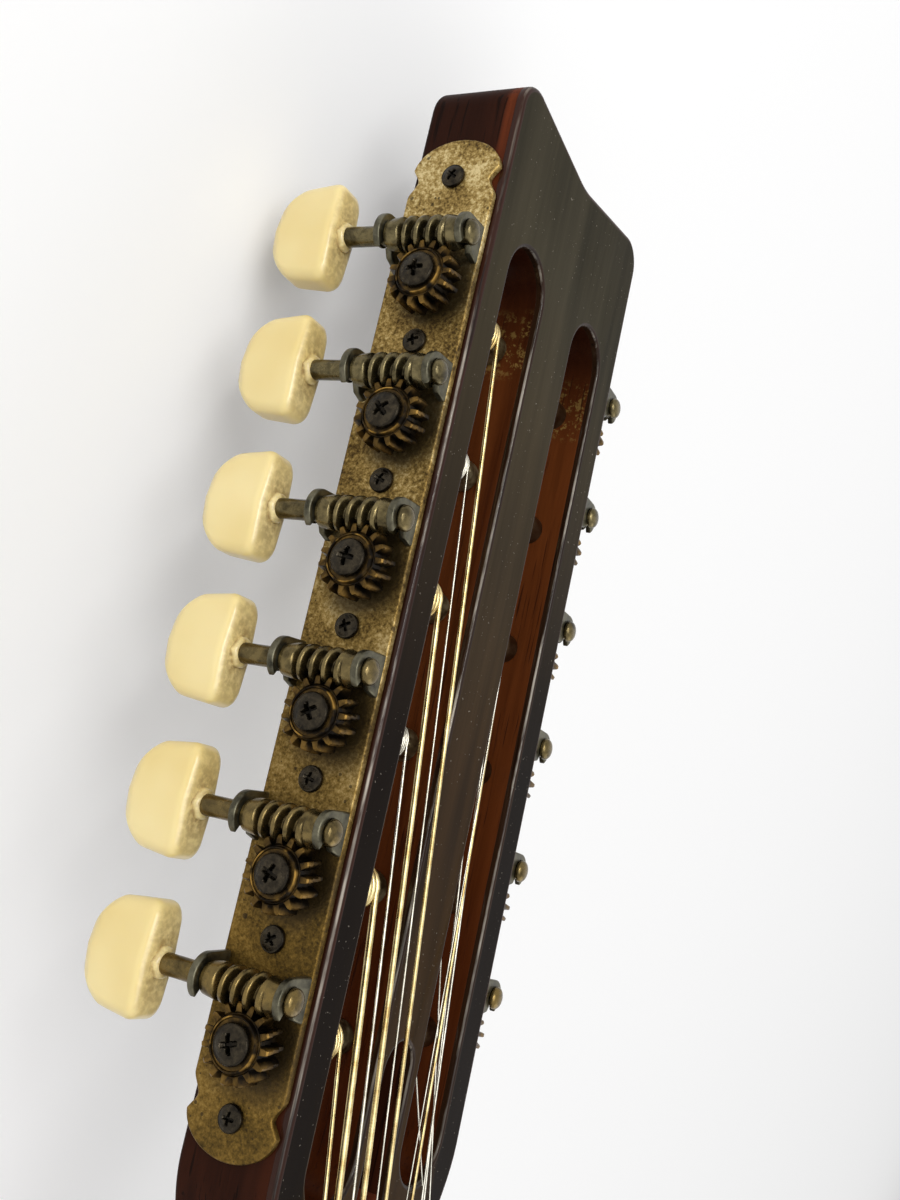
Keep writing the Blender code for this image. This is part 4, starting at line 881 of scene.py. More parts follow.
def plateLoop():
    # Long strip with elliptic ends that stop at an ear; a hollow runs from each ear back to the full width
    s = plateSizes
    half, ear = s["width"] / 2, s["earPlace"]
    turn = np.linspace(0.10, math.pi - 0.10, 40)
    cap = np.column_stack([half * np.cos(turn), ear * np.sin(turn) - ear])
    back = np.linspace(s["notchLength"], 0.0004, 14)
    floor = s["notchFloor"]
    depth = s["notchDepth"] * np.where(back > floor, 1 - smoothStep(floor, s["notchLength"], back),
        np.sqrt(np.clip(back / floor, 0, 1)))
    bite = np.column_stack([half - depth, -ear - back])
    upper = np.concatenate([bite, cap, bite[::-1] * (-1, 1)])
    top = rollerPlaces[0] + s["pastFirst"]
    bottom = top - s["length"]
    middle = -s["frontEdge"] - half
    upperPart = upper + (0, top)
    lowerPart = upper * (-1, -1) + (0, bottom)
    return aroundMaterial(np.concatenate([upperPart, lowerPart]) + (middle, 0))


def lugLoop(outer):
    # Hook round the worm's journal, its mouth open towards the gear; written as (along, out of the side)
    foot = -(wormOut - plateSizes["base"] - plateSizes["thickness"] * 0.6)
    mouth = math.radians(34)
    arc = np.linspace(0, math.pi - mouth, 22)
    back = np.column_stack([np.cos(arc), np.sin(arc)]) * outer
    inside = np.linspace(math.pi - mouth, -math.pi + mouth, 26)
    hollow = np.column_stack([np.cos(inside), np.sin(inside)]) * plateSizes["lugHollow"]
    low = (-outer * math.cos(mouth), -outer * math.sin(mouth))
    return aroundMaterial(np.concatenate([[(outer * 1.08, foot)], back, hollow, [low],
        [(-outer * 1.05, foot)]]))


def screwHead(radius, rise, crossTurn, count=64, recess=0.0006):
    # Dome on a polar grid, with the cross of the driver pressed into it
    r = np.concatenate([[1.0, 1.0, 0.98, 0.93], np.linspace(0.86, 0.0, 16)])
    h = np.concatenate([[0.0, 0.35, 0.5, 0.62], 0.62 + 0.38 * (1 - (np.linspace(0.86, 0.0, 16) / 0.86) ** 2)])
    turn = fullTurn(count)
    a = radius * r[:, None] * np.cos(turn)
    b = radius * r[:, None] * np.sin(turn)
    u = np.abs(a * math.cos(crossTurn) + b * math.sin(crossTurn))
    v = np.abs(b * math.cos(crossTurn) - a * math.sin(crossTurn))
    near, far = np.minimum(u, v), np.maximum(u, v)
    pressed = ((1 - smoothStep(radius * 0.07, radius * 0.14, near))
        * (1 - smoothStep(radius * 0.36, radius * 0.50, far)))
    pressed = np.where(r[:, None] < 0.9, pressed, 0)
    grid = stacked(a, b, rise * h[:, None] - recess * pressed)
    return grid, np.clip(pressed + 0.5 * (r[:, None] > 0.9), 0, 1)


def onSide(side, out, along, depth):
    # Places (a, b, height) with height out of the head's side
    def place(grid):
        a, b, rise = np.moveaxis(np.asarray(grid, float), -1, 0)
        return inHead(stacked(side * (out + rise), along + a, depth + b))
    return place


def onWorm(side, along):
    # Places (a, b, height) with height along a worm's axis, towards the front of the head
    def place(grid):
        a, b, rise = np.moveaxis(np.asarray(grid, float), -1, 0)
        return inHead(stacked(side * (wormOut + a), along + b, rise - gearDepth))
    return place


def crossed(place):
    # The same placing, for points written as (b, a, height)
    return lambda grid: place(grid[..., [1, 0, 2]])


frontLug = gearDepth - plateSizes["frontEdge"] - 0.00015
backLug = gearDepth - plateSizes["frontEdge"] - plateSizes["width"] + 0.00015
screwPlaces = [rollerPlaces[0] + 0.0215, *(place - 0.0100 for place in rollerPlaces[:5]),
    rollerPlaces[5] - 0.0116]


def makePlate(sideName, side):
    s = plateSizes
    surfaces = roundedSlab([plateLoop()], s["base"], s["base"] + s["thickness"], 0.0, s["edge"],
        crossed(onSide(side, 0, 0, 0)))
    lugs = []
    for along in wormPlaces:
        for low, outer in ((frontLug - s["lugThickness"], s["frontLug"]), (backLug, s["backLug"])):
            lugs += roundedSlab([lugLoop(outer)], low, low + s["lugThickness"], 0.0003, 0.0003,
                crossed(onWorm(side, along)), 3)
    makePiece("plate_" + sideName, surfaces, [plateMetal], replaces=["tuner_plate_" + sideName])
    makePiece("lugs_" + sideName, lugs, [lugMetal])
    screws = []
    for number, along in enumerate(screwPlaces):
        grid, dirt = screwHead(s["screwRadius"], 0.0011, 0.7 * number + side)
        place = onSide(side, s["base"] + s["thickness"], along, -s["screwDepth"])
        screws.append(gridSurface(place(grid), caps=("start",), wear=dirt))
    makePiece("plate_screws_" + sideName, screws, [screwMetal])


buttonSizes = {"start": 0.0077, "shaftHalf": 0.0097, "endHalf": 0.0083, "thick": 0.0043, "endThick": 0.0037,
    "length": 0.0136, "shaftCorner": 0.0026, "endCorner": 0.0052, "faceCorner": 0.0017, "bulge": 0.0016,
    "ridge": 0.22, "edge": 0.0021, "collar": 0.0026}
teeth, pitchRadius = 15, 0.00565
wormSizes = {
    "lead": 2 * math.pi * pitchRadius / teeth,
    "bottom": -0.00557,
    "top": 0.0039,
    "crestOffset": 0.69,
    "tip": 0.00315,
    "root": 0.00168,
    "barrel": 0.00305,
    "journal": 0.00178,
    "rivet": 0.0022,
}


def wormSurface(side, along):
    # Radius as a function of turn and height: barrels at both ends, and a rounded thread between them
    s = wormSizes
    low, high = s["bottom"] - 0.0002, s["top"] + 0.0002
    height = np.linspace(low, high, 84)
    turn = fullTurn(48)
    phase = (height[:, None] - s["bottom"]) / s["lead"] - turn / (2 * math.pi) - s["crestOffset"]
    crest = 0.5 + 0.5 * np.cos(2 * math.pi * phase)
    crest = smoothStep(0.18, 0.92, crest)
    thread = s["root"] + (s["tip"] - s["root"]) * crest
    window = smoothStep(low, low + 0.0011, height) * (1 - smoothStep(high - 0.0011, high, height))
    radius = s["barrel"] + (thread - s["barrel"]) * window[:, None]
    threadGrid = polar(radius, turn, height[:, None])
    wear = (1 - crest) * window[:, None] * 0.9

    def ends(profile):
        r, h = np.array(profile).T
        return polar(r[:, None], turn, h[:, None])
    lugIn, lugOut = frontLug - plateSizes["lugThickness"] - 0.0003, frontLug + 0.0002
    dome = np.linspace(0, math.pi / 2, 7)
    rivet = [(s["rivet"] * math.cos(t) ** 0.7, lugOut + 0.0002 + 0.0011 * math.sin(t)) for t in dome[:-1]]
    front = ends([(2.70e-3, lugIn), (s["journal"], lugIn), (s["journal"], lugOut), (s["rivet"], lugOut)]
        + rivet + [(0.0, lugOut + 0.0013)])
    buttonTop = gearDepth - headThickness - buttonSizes["start"]
    rear = ends([(0.0, buttonTop - 0.0030), (s["journal"], buttonTop - 0.0030),
        (s["journal"], backLug - 0.0006), (0.0021, backLug - 0.0004), (0.0021, backLug - 0.0001),
        (s["journal"], backLug), (s["journal"], backLug + plateSizes["lugThickness"] + 0.0003),
        (2.70e-3, backLug + plateSizes["lugThickness"] + 0.0003)])
    grid = np.concatenate([rear, threadGrid, front])
    grime = np.concatenate([np.tile([[0.2], [0.2], [0.35], [0.6], [0.3], [0.6], [0.6], [0.2]], (1, 48)),
        wear, np.full((len(front), 48), 0.25)])
    return gridSurface(onWorm(side, along)(grid), wear=grime)


def buttonSurface(side, along):
    # Rounded rectangles carried down the shaft: their half sizes follow two outlines with rounded corners
    s = buttonSizes
    top = gearDepth - headThickness - s["start"]
    drop = s["length"] * np.concatenate([[0, 0.004, 0.012, 0.025, 0.045, 0.07, 0.10, 0.14, 0.18],
        np.linspace(0.23, 0.72, 14), 1 - 0.28 * np.cos(np.linspace(0.1, math.pi / 2, 14))])

    def outline(wide, narrow, startCorner, endCorner, endLength):
        # A line from wide to narrow; both ends turn in by elliptic corners
        line = wide + (narrow - wide) * drop / s["length"]
        first = startCorner * (1 - np.sqrt(1 - np.clip(1 - drop / startCorner, 0, 1) ** 2))
        last = endCorner * (1 - np.sqrt(1 - np.clip(1 - (s["length"] - drop) / endLength, 0, 1) ** 2))
        return line - first - last
    wide = outline(s["shaftHalf"], s["endHalf"], s["shaftCorner"], s["endCorner"], s["endCorner"])
    thick = outline(s["thick"], s["endThick"], s["faceCorner"], 0.0022, 0.0026)
    edge = np.minimum(s["edge"], np.minimum(wide, thick) * 0.72)
    turn = np.concatenate([np.linspace(0, math.pi / 2, 9) + quarter * math.pi / 2 for quarter in range(4)])
    signA = np.repeat([1, -1, -1, 1], 9)
    signB = np.repeat([1, 1, -1, -1], 9)
    a = signA * (thick - edge)[:, None] + edge[:, None] * np.cos(turn)
    b = signB * (wide - edge)[:, None] + edge[:, None] * np.sin(turn)
    middle = 18
    a = np.concatenate([thick[:, None], a[:, :middle], -thick[:, None], a[:, middle:]], 1)
    b = np.concatenate([0 * thick[:, None], b[:, :middle], 0 * thick[:, None], b[:, middle:]], 1)
    a = a * (1 - s["ridge"] * np.abs(b) / s["shaftHalf"])
    bulge = s["bulge"] * smoothStep(0.5, 1.0, drop / s["length"])[:, None]
    fall = drop[:, None] - bulge * (b / s["endHalf"]) ** 2
    body = stacked(a, b, top - fall)
    around = np.arctan2(b[0], a[0])
    neckR = np.array([0.0017, 0.0023, s["collar"], s["collar"] * 1.02])[:, None]
    neckH = top + np.array([0.0012, 0.0011, 0.0006, 0.00005])
    neck = polar(neckR, around, neckH[:, None])
    grid = np.concatenate([neck, body])
    dirt = np.concatenate([[0.8, 0.6, 0.35, 0.9], 0.45 * (1 - smoothStep(0.0, 0.0010, drop))])
    return gridSurface(onWorm(side, along)(grid), caps=("start", "end"), wear=dirt[:, None])


gearSizes = {"tip": 0.00618, "root": 0.00460, "thickness": 0.0032, "skirt": 0.0011,
    "height": 0.0058, "hub": 0.0042, "hubRise": 0.0006, "roller": 0.0030, "rollerEnd": 0.0024,
    "bearing": 0.0040, "screw": 0.0032, "screwRise": 0.0012,
    "holePlace": 0.0128, "holeDepth": 0.0019}
crestFacing = wormSizes["bottom"] + wormSizes["lead"] * 1.75 - wormSizes["lead"] * 0.31
gearPhase = 2 * math.pi / teeth * (crestFacing / wormSizes["lead"] + 0.5)
leadAngle = math.atan(wormSizes["lead"] / (math.pi * 0.0045))


def gearSurface(side, place):
    # Teeth as a radius that swells with the turn; the same grid goes on down the roller.
    # The raised ring is rubbed bright in broken arcs, other ones on every gear
    s = gearSizes
    turn = fullTurn(teeth * 14)
    outer = headHalf + s["height"] + s["thickness"] / 2
    deep = s["thickness"] + s["skirt"]
    inner = outer - deep
    lean = s["thickness"] * math.tan(leadAngle) / pitchRadius

    def toothed(share, size):
        # share runs from the back face, 0, to the front face, 1
        above = (inner + deep * share - headHalf - s["height"]) / s["thickness"]
        phase = (turn - gearPhase - lean * above) / (2 * math.pi / teeth)
        near = np.abs((phase + 0.5) % 1 - 0.5)
        return s["root"] + (s["tip"] * size - s["root"]) * (1 - smoothStep(0.13, 0.31, near))
    start = 40 * side * place
    arcs = (np.sin(2 * turn + start * 5) + 0.7 * np.sin(5 * turn - start * 9)
        + 0.5 * np.sin(11 * turn + start * 3))
    rubbed = 0.95 - 0.85 * smoothStep(-0.1, 1.1, arcs)
    slotIn = headSizes["slotCentre"] - headSizes["slotHalf"]
    rows, heights, wear = [], [], []

    def add(radius, height, dirt):
        rows.append(radius + 0 * turn)
        heights.append(height)
        wear.append(dirt + 0 * turn)
    add(0, slotIn - s["bearing"], 0.3)
    add(s["rollerEnd"], slotIn - s["bearing"], 0.3)
    add(s["rollerEnd"], slotIn + 0.0003, 0.3)
    add(s["roller"] - 0.0002, slotIn + 0.0003, 0.4)
    for share in np.linspace(0, 1, 40):
        add(s["roller"], slotIn + 0.0005 + (0.0236 - slotIn) * share, 0.15)
    add(s["roller"], inner, 0.6)
    add(s["root"] * 0.93, inner, 0.9)
    for share, size in ((0.0, 0.95), (0.05, 0.99), (0.35, 1.0), (0.7, 1.0), (0.95, 0.99), (1.0, 0.95)):
        edge = toothed(share, size)
        depth = (edge - s["root"]) / (s["tip"] - s["root"])
        add(edge, inner + deep * share, np.clip(1.15 - 0.5 * depth * share - 0.15 * depth, 0, 1))
    faceEdge = toothed(1.0, 0.90)
    add(np.minimum(faceEdge, s["root"] * 1.02), outer, 0.8)
    add(s["root"] * 0.965, outer - 0.00018, 0.95)
    add(s["hub"] * 1.03, outer - 0.00012, 0.9)
    add(s["hub"], outer + s["hubRise"] * 0.7, 0.5 + 0.5 * rubbed)
    add(s["hub"] * 0.975, outer + s["hubRise"], rubbed)
    add(s["hub"] * 0.93, outer + s["hubRise"], rubbed)
    add(s["hub"] * 0.90, outer + s["hubRise"] * 0.55, 0.8)
    add(s["screw"] * 0.95, outer + s["hubRise"] * 0.50, 0.95)
    add(0, outer + s["hubRise"] * 0.50, 0.95)
    radius, height = np.array(rows), np.array(heights)[:, None] + 0 * turn
    a, b = radius * np.cos(turn), radius * np.sin(turn)
    # A round hollow for the string, pressed into the roller from both sides
    hollow = 1 - smoothStep(0.00055, 0.00085, np.hypot(a, height - s["holePlace"]))
    depth = s["holeDepth"] * hollow * (radius > 0.0025)
    depth = np.where(height > 0.02, 0, depth)
    scale = np.where(radius > 1e-6, (radius - depth) / np.maximum(radius, 1e-6), 1)
    dirt = np.clip(np.array(wear) + depth / s["holeDepth"], 0, 1)
    grid = stacked(side * height, place + a * scale, b * scale - gearDepth)
    return inHead(grid), dirt, outer


def makeTuner(sideName, side, number):
    body = f"{sideName}_{number}"
    wormAlong, rollerAlong = wormPlaces[number - 1], rollerPlaces[number - 1]
    makePiece("worm_" + body, [wormSurface(side, wormAlong)], [wormMetal], "key_" + body,
        ["tuner_key_" + body], angle=50)
    makePiece("button_" + body, [buttonSurface(side, wormAlong)], [creamPlastic], "key_" + body,
        angle=60)
    grid, dirt, outer = gearSurface(side, rollerAlong)
    makePiece("gear_" + body, [gridSurface(grid, wear=dirt)], [gearBrass], "roller_" + body,
        ["string_roller_" + body], angle=34)
    cap, capDirt = screwHead(gearSizes["screw"], gearSizes["screwRise"] + 0.0003, 0.9 * number + side, 72,
        0.0009)
    place = onSide(side, outer + gearSizes["hubRise"] - 0.0003, rollerAlong, -gearDepth)
    makePiece("gear_screw_" + body, [gridSurface(place(cap), caps=("start",), wear=capDirt)], [screwMetal],
        "roller_" + body)


for sideName, side in sides:
    makePlate(sideName, side)
    for number in range(1, 7):
        makeTuner(sideName, side, number)
print("machine heads made")


# Body: dense outline of the soundbox, with every sheet and edge strip following it

bodySizes = {
    "length": 0.500,
    "upperHalf": 0.1475, "waistHalf": 0.1375, "lowerHalf": 0.2035,
    "upperPlace": 0.088, "waistPlace": 0.205, "lowerPlace": 0.372,
    "shoulderPower": 2.6, "tailPower": 2.25,
    "depthHeel": 0.105, "depthTail": 0.121,
    "board": 0.0030, "back": 0.0030, "side": 0.0024,
    "backArch": 0.0045, "backFlat": 0.060,
    "holeRadius": 0.0505, "holePlace": 0.147, "backBraces": (0.075, 0.165, 0.300, 0.410),
    "bindingWidth": 0.0022, "bindingDrop": 0.0060, "edgeRound": 0.0012,
}


def bodyHalf(count=46):
    # Half outline: a squared shoulder, a cosine waist and a squared tail
    s = bodySizes
    turn = np.linspace(math.pi / 2, 0, count)
    sine, cosine = np.sin(turn).clip(0), np.cos(turn).clip(0)
    shoulder = np.column_stack([s["upperHalf"] * cosine ** (2 / s["shoulderPower"]),
        -s["upperPlace"] + s["upperPlace"] * sine ** (2 / s["shoulderPower"])])
    bends = []
    for start, end, wide, narrow, steps in (("upperPlace", "waistPlace", "upperHalf", "waistHalf", 24),
            ("waistPlace", "lowerPlace", "waistHalf", "lowerHalf", 36)):
        share = np.linspace(0, 1, steps + 1)[1:]
        ease = (1 - np.cos(math.pi * share)) / 2
        bends.append(np.column_stack([s[wide] + (s[narrow] - s[wide]) * ease,
            -(s[start] + (s[end] - s[start]) * share)]))
    turn = np.linspace(0, math.pi / 2, count + 6)[1:]
    reach = s["length"] - s["lowerPlace"]
    tail = np.column_stack([s["lowerHalf"] * np.cos(turn).clip(0) ** (2 / s["tailPower"]),
        -s["lowerPlace"] - reach * np.sin(turn) ** (2 / s["tailPower"])])
    return np.concatenate([shoulder] + bends + [tail])


def evenLoop(loop, count):
    # The same closed line with evenly spaced points
    closed = np.concatenate([loop, loop[:1]])
    run = np.concatenate([[0], np.cumsum(np.linalg.norm(np.diff(closed, axis=0), axis=1))])
    at = np.linspace(0, run[-1], count, endpoint=False)
    return np.column_stack([np.interp(at, run, closed[:, 0]), np.interp(at, run, closed[:, 1])])


halfLine = bodyHalf()
bodyLoop = evenLoop(aroundMaterial(np.concatenate([halfLine, halfLine[-2:0:-1] * (-1, 1)])), 360)


def backUnder(x, y):
    s = bodySizes
    depth = s["depthHeel"] + (s["depthTail"] - s["depthHeel"]) * (-y / s["length"])
    past = np.clip(np.abs(x) - s["backFlat"], 0, None) / (s["lowerHalf"] - s["backFlat"])
    return -depth + s["backArch"] * past ** 2


def ring(loop, height):
    level = height(loop[:, 0], loop[:, 1]) if callable(height) else np.full(len(loop), height)
    return np.column_stack([loop, level])


def strip(section):
    # A closed section of (inset, height) carried round the body's outline
    rings = np.stack([ring(insetLoop(bodyLoop, inset), height) for inset, height in section])
    return gridSurface(inBody(rings), wrapRows=True)


def above(extra):
    return lambda x, y: backUnder(x, y) + extra


def holeCircle(radius, count):
    # A circle round the middle of the sound hole
    turn = fullTurn(count)
    return np.column_stack([radius * np.cos(turn), radius * np.sin(turn) - bodySizes["holePlace"]])


def closedBar(grid):
    # A bar in the body's frame, closed at both ends
    return gridSurface(inBody(grid), caps=("start", "end"))


def makeTop():
    # The board lies inside the binding; its sound hole has softened edges
    s = bodySizes
    outer = insetLoop(bodyLoop, s["bindingWidth"])
    hole = holeCircle(s["holeRadius"], 120)[::-1]
    surfaces = roundedSlab([outer, hole], -s["board"], 0, 0.0001, 0.0003, inBody, 3,
        holeEdge=(0.0003, 0.0006))
    makePiece("top_board", surfaces, [topWood], replaces=["soundboard"])


def makeSides():
    s = bodySizes
    low, high = above(s["back"] + 0.0003), -s["board"] - 0.0003
    section = [(0, low), (0, high), (s["side"], high), (s["side"], low)]
    makePiece("side_walls", [strip(section)], [bodyWood], replaces=["sides"])


def makeBack(shells=14):
    # Rings drawn in from the edge to the middle, and four braces inside
    s = bodySizes
    outer = insetLoop(bodyLoop, s["bindingWidth"])
    middle = np.array([0, -s["length"] / 2])
    shares = np.linspace(1, 0, shells + 1)[:-1] ** 0.8
    outside = [ring(middle + (outer - middle) * share, backUnder) for share in shares]
    inside = [ring(middle + (outer - middle) * share, above(s["back"])) for share in shares]
    grid = np.stack(outside[::-1] + inside)
    makePiece("back_board", [closedBar(grid)], [bodyWood], replaces=["back"])
    braces = []
    for place in s["backBraces"]:
        # Bar across the back with scalloped ends and a rounded crown
        half = np.interp(place, -halfLine[:, 1], halfLine[:, 0]) - 0.021
        x = np.linspace(-half, half, 60)
        lift = 0.012 * (0.35 + 0.65 * smoothStep(0, 0.03, half - np.abs(x)))
        base = backUnder(x, 0 * x - place) + s["back"] - 0.0004
        turn = np.linspace(0, math.pi, 9)
        y = np.concatenate([[-0.005], -0.005 * np.cos(turn), [0.005]])
        z = np.concatenate([[0], 0.6 + 0.4 * np.sin(turn), [0]])
        bar = stacked(x[:, None], -place + y, base[:, None] + lift[:, None] * z)
        braces.append(closedBar(bar))
    makePiece("back_braces", braces, [bareWood])


def bindingSection(top):
    # Section of a binding: square inside, rounded on its outer edge
    s = bodySizes
    r, inner = s["edgeRound"], s["bindingWidth"] - 0.00005
    deep = s["bindingDrop"] if top else s["back"] + s["bindingDrop"] - 0.003

    def level(drop):
        return -drop if top else above(drop)
    corner = [(r * (1 - math.sin(a)), level(r * (1 - math.cos(a))))
        for a in np.linspace(0, math.pi / 2, 5)[::-1]]
    return [(inner, level(deep)), (0, level(deep))] + corner + [(inner, level(0))]


def inlay(start, end):
    # Section of a thin line let into the top, standing out by less than a tenth of a millimetre
    return [(start, -0.0004), (start, 0.00006), (end, 0.00006), (end, -0.0004)]


def makeBinding():
    # Cream strip let into both edges, with two thin dark lines inside the one on the top
    s = bodySizes
    for name, top in (("top_binding", True), ("back_binding", False)):
        makePiece(name, [strip(bindingSection(top))], [bindingPlastic])
    lines = [strip(inlay(start, start + 0.0006)) for start in (s["bindingWidth"] + 0.0002,
        s["bindingWidth"] + 0.0016)]
    makePiece("purfling", lines, [blackLine])


# radius, width, finish: 0 cream, 1 black, 2 the broad band
rosette = ((0.0535, 0.0012, 1), (0.0552, 0.0012, 0), (0.0569, 0.0012, 1), (0.0598, 0.0046, 2),
    (0.0648, 0.0012, 1), (0.0665, 0.0012, 0), (0.0682, 0.0012, 1))


def makeRosette():
    # Flat rings let into the top
    surfaces = []
    for radius, width, finish in rosette:
        section = inlay(radius - width / 2, radius + width / 2)
        grid = np.stack([ring(holeCircle(r, 160), z) for r, z in section])
        surfaces.append(gridSurface(inBody(grid), wrapRows=True, finish=finish))
    makePiece("rosette", surfaces, [bindingPlastic, blackLine, rosetteBand])


def makePickguard():
    # Drop shape round the treble side of the hole, its edge rounded over
    centre = np.array([0, -bodySizes["holePlace"]])
    inner = [0.0560 * np.array([math.cos(t), math.sin(t)]) for t in np.radians(np.linspace(32, -85, 40))]
    outer = []
    for share in np.linspace(0, 1, 60):
        radius = 0.0620 + 0.0390 * math.sin(math.pi * min(1.0, share * 1.15) * 0.62) ** 0.8
        angle = math.radians(-84 + 112 * share)
        outer.append(radius * np.array([math.cos(angle), math.sin(angle)]))
    loop = aroundMaterial(centre + np.concatenate([inner, outer]))
    makePiece("pickguard_sheet", roundedSlab([evenLoop(loop, 150)], 0.0003, 0.0015, 0.0, 0.0006, inBody, 3),
        [guardPlastic], replaces=["pickguard"])


bridgeSizes = {"half": 0.076, "width": 0.036, "height": 0.0085, "wingHeight": 0.0035, "wing": 0.030,
    "saddleHalf": 0.037, "saddleThick": 0.0030, "saddleRise": 0.0032, "seatDepth": 0.004,
    "pinRows": (0.012, 0.0205)}


def makeBridge():
    # A grid over the bridge's outline: arched block in the middle and hollowed wings
    s = bridgeSizes
    front = saddlePlace + s["width"] * 0.30
    middle = front - s["width"] / 2
    x = np.concatenate([np.linspace(-1, -0.5, 24), np.linspace(-0.5, 0.5, 40)[1:],
        np.linspace(0.5, 1, 24)[1:]]) * s["half"]
    end = (s["half"] - np.abs(x)) / 0.012
    half = s["width"] / 2 * (1 - 0.30 * (1 - np.clip(end, 0, 1)) ** 2.4)
    rise = np.clip((np.abs(x) - (s["half"] - s["wing"])) / s["wing"], 0, 1)
    ease = rise ** 0.7
    top = s["height"] - (s["height"] - s["wingHeight"]) * ease
    turn = np.linspace(0, math.pi / 2, 7)
    across, height = [], []
    edge = np.minimum(0.0026, top * 0.5)
    for a in turn:
        across.append(half - edge * (1 - math.sin(math.pi / 2 - a)))
        height.append(top - edge * (1 - math.sin(a)))
    across, height = np.array(across), np.array(height)
    across = np.concatenate([half[None], across])
    height = np.concatenate([0 * top[None] + 0.0003, height])
    flat = np.linspace(1, -1, 26)[1:-1]
    rowsA = [across] + [(across[-1] * f)[None] for f in flat] + [-across[::-1]]
    rowsH = [height] + [height[-1][None]] * len(flat) + [height[::-1]]
    a, h = np.concatenate(rowsA), np.concatenate(rowsH)
    grid = stacked(x, middle + a, h)
    grid = np.moveaxis(grid, 0, 1)
    makePiece("bridge_block", [closedBar(grid)], [rosewood], replaces=["bridge"], angle=32)


stringDiameters = {"1a": 0.00025, "1b": 0.00025, "2a": 0.00036, "2b": 0.00036, "3a": 0.00058, "3b": 0.00023,
    "4a": 0.00076, "4b": 0.00030, "5a": 0.00099, "5b": 0.00046, "6a": 0.00119, "6b": 0.00069}
stringSizes = {"atNut": 0.0196, "atSaddle": 0.0265, "pairAtNut": 0.00115, "pairAtSaddle": 0.0015,
    "woundFrom": 0.00028, "thinTurns": 3.6, "thickTurns": 2.6, "thickFrom": 0.0003, "firstWrap": 0.0136,
    "wrapRadius": 0.0033, "wrapGap": 0.00012, "offRoller": 0.00006, "leaves": math.radians(100)}


def stringPlaces():
    # Name, place at the nut, place at the saddle, side, roller counted from the tip, row of the pin
    s = stringSizes
    for index, name in enumerate(stringDiameters):
        pair = -1 if index % 2 else 1
        share = 1 - 2 * (index // 2) / 5
        yield (name, s["atNut"] * share + pair * s["pairAtNut"],
            s["atSaddle"] * share + pair * s["pairAtSaddle"], 1 if index < 6 else -1,
            5 - index if index < 6 else index - 6, index % 2)


def makeSaddle():
    s = bridgeSizes
    x = np.linspace(-1, 1, 40) * s["saddleHalf"]
    half = s["saddleThick"] / 2
    turn = np.linspace(0, math.pi, 9)
    top = s["height"] + s["saddleRise"]
    end = np.clip((s["saddleHalf"] - np.abs(x)) / 0.0016, 0, 1)
    drop = 0.0016 * (1 - np.sqrt(1 - (1 - end) ** 2))
    across = np.concatenate([[half], half * np.cos(turn), [-half]])
    heights = np.concatenate([[0], top - half + half * np.sin(turn) - (s["height"] - s["seatDepth"]), [0]])
    grid = stacked(x[:, None], saddlePlace + across,
        s["height"] - s["seatDepth"] + np.maximum(heights - drop[:, None] * (heights > 0), 0))
    makePiece("saddle_bone", [closedBar(grid)], [boneFinish], replaces=["saddle"])


def makePins():
    # Bridge pins: round heads on tapered shanks, each with a small dark dot
    profile = [(0.0, -0.006), (0.0019, -0.006), (0.0021, 0.0), (0.0028, 0.0004), (0.0037, 0.0012),
        (0.0040, 0.0024), (0.0037, 0.0036), (0.0028, 0.0044), (0.0013, 0.0048)]
    pins, dots = [], []
    for name, atNut, atSaddle, side, roller, row in stringPlaces():
        y = saddlePlace - bridgeSizes["pinRows"][row] - 0.0012
        x = atSaddle

        def place(grid, x=x, y=y):
            return inBody(grid + np.array([x, y, bridgeSizes["height"] - 0.0004]))
        pins.append(lathe(profile, place, 28))
        dots.append(lathe([(0.0012, 0.0040), (0.0012, 0.00485), (0.0009, 0.00495)], place, 20))
    makePiece("bridge_pins", pins, [pinPlastic])
    makePiece("pin_dots", dots, [guardPlastic])


def fretPlace(fret):
    return nutFront - guitarSizes["scale"] * (1 - 2 ** (-fret / 12))


boardSizes = {"thickness": 0.006, "overhang": 0.008, "fretWidth": 0.0022, "fretHeight": 0.0010,
    "stringGap": 0.00045, "dots": (5, 7, 9, 12, 15, 17)}
stringLow = seat + boardSizes["thickness"] + boardSizes["fretHeight"] + boardSizes["stringGap"]


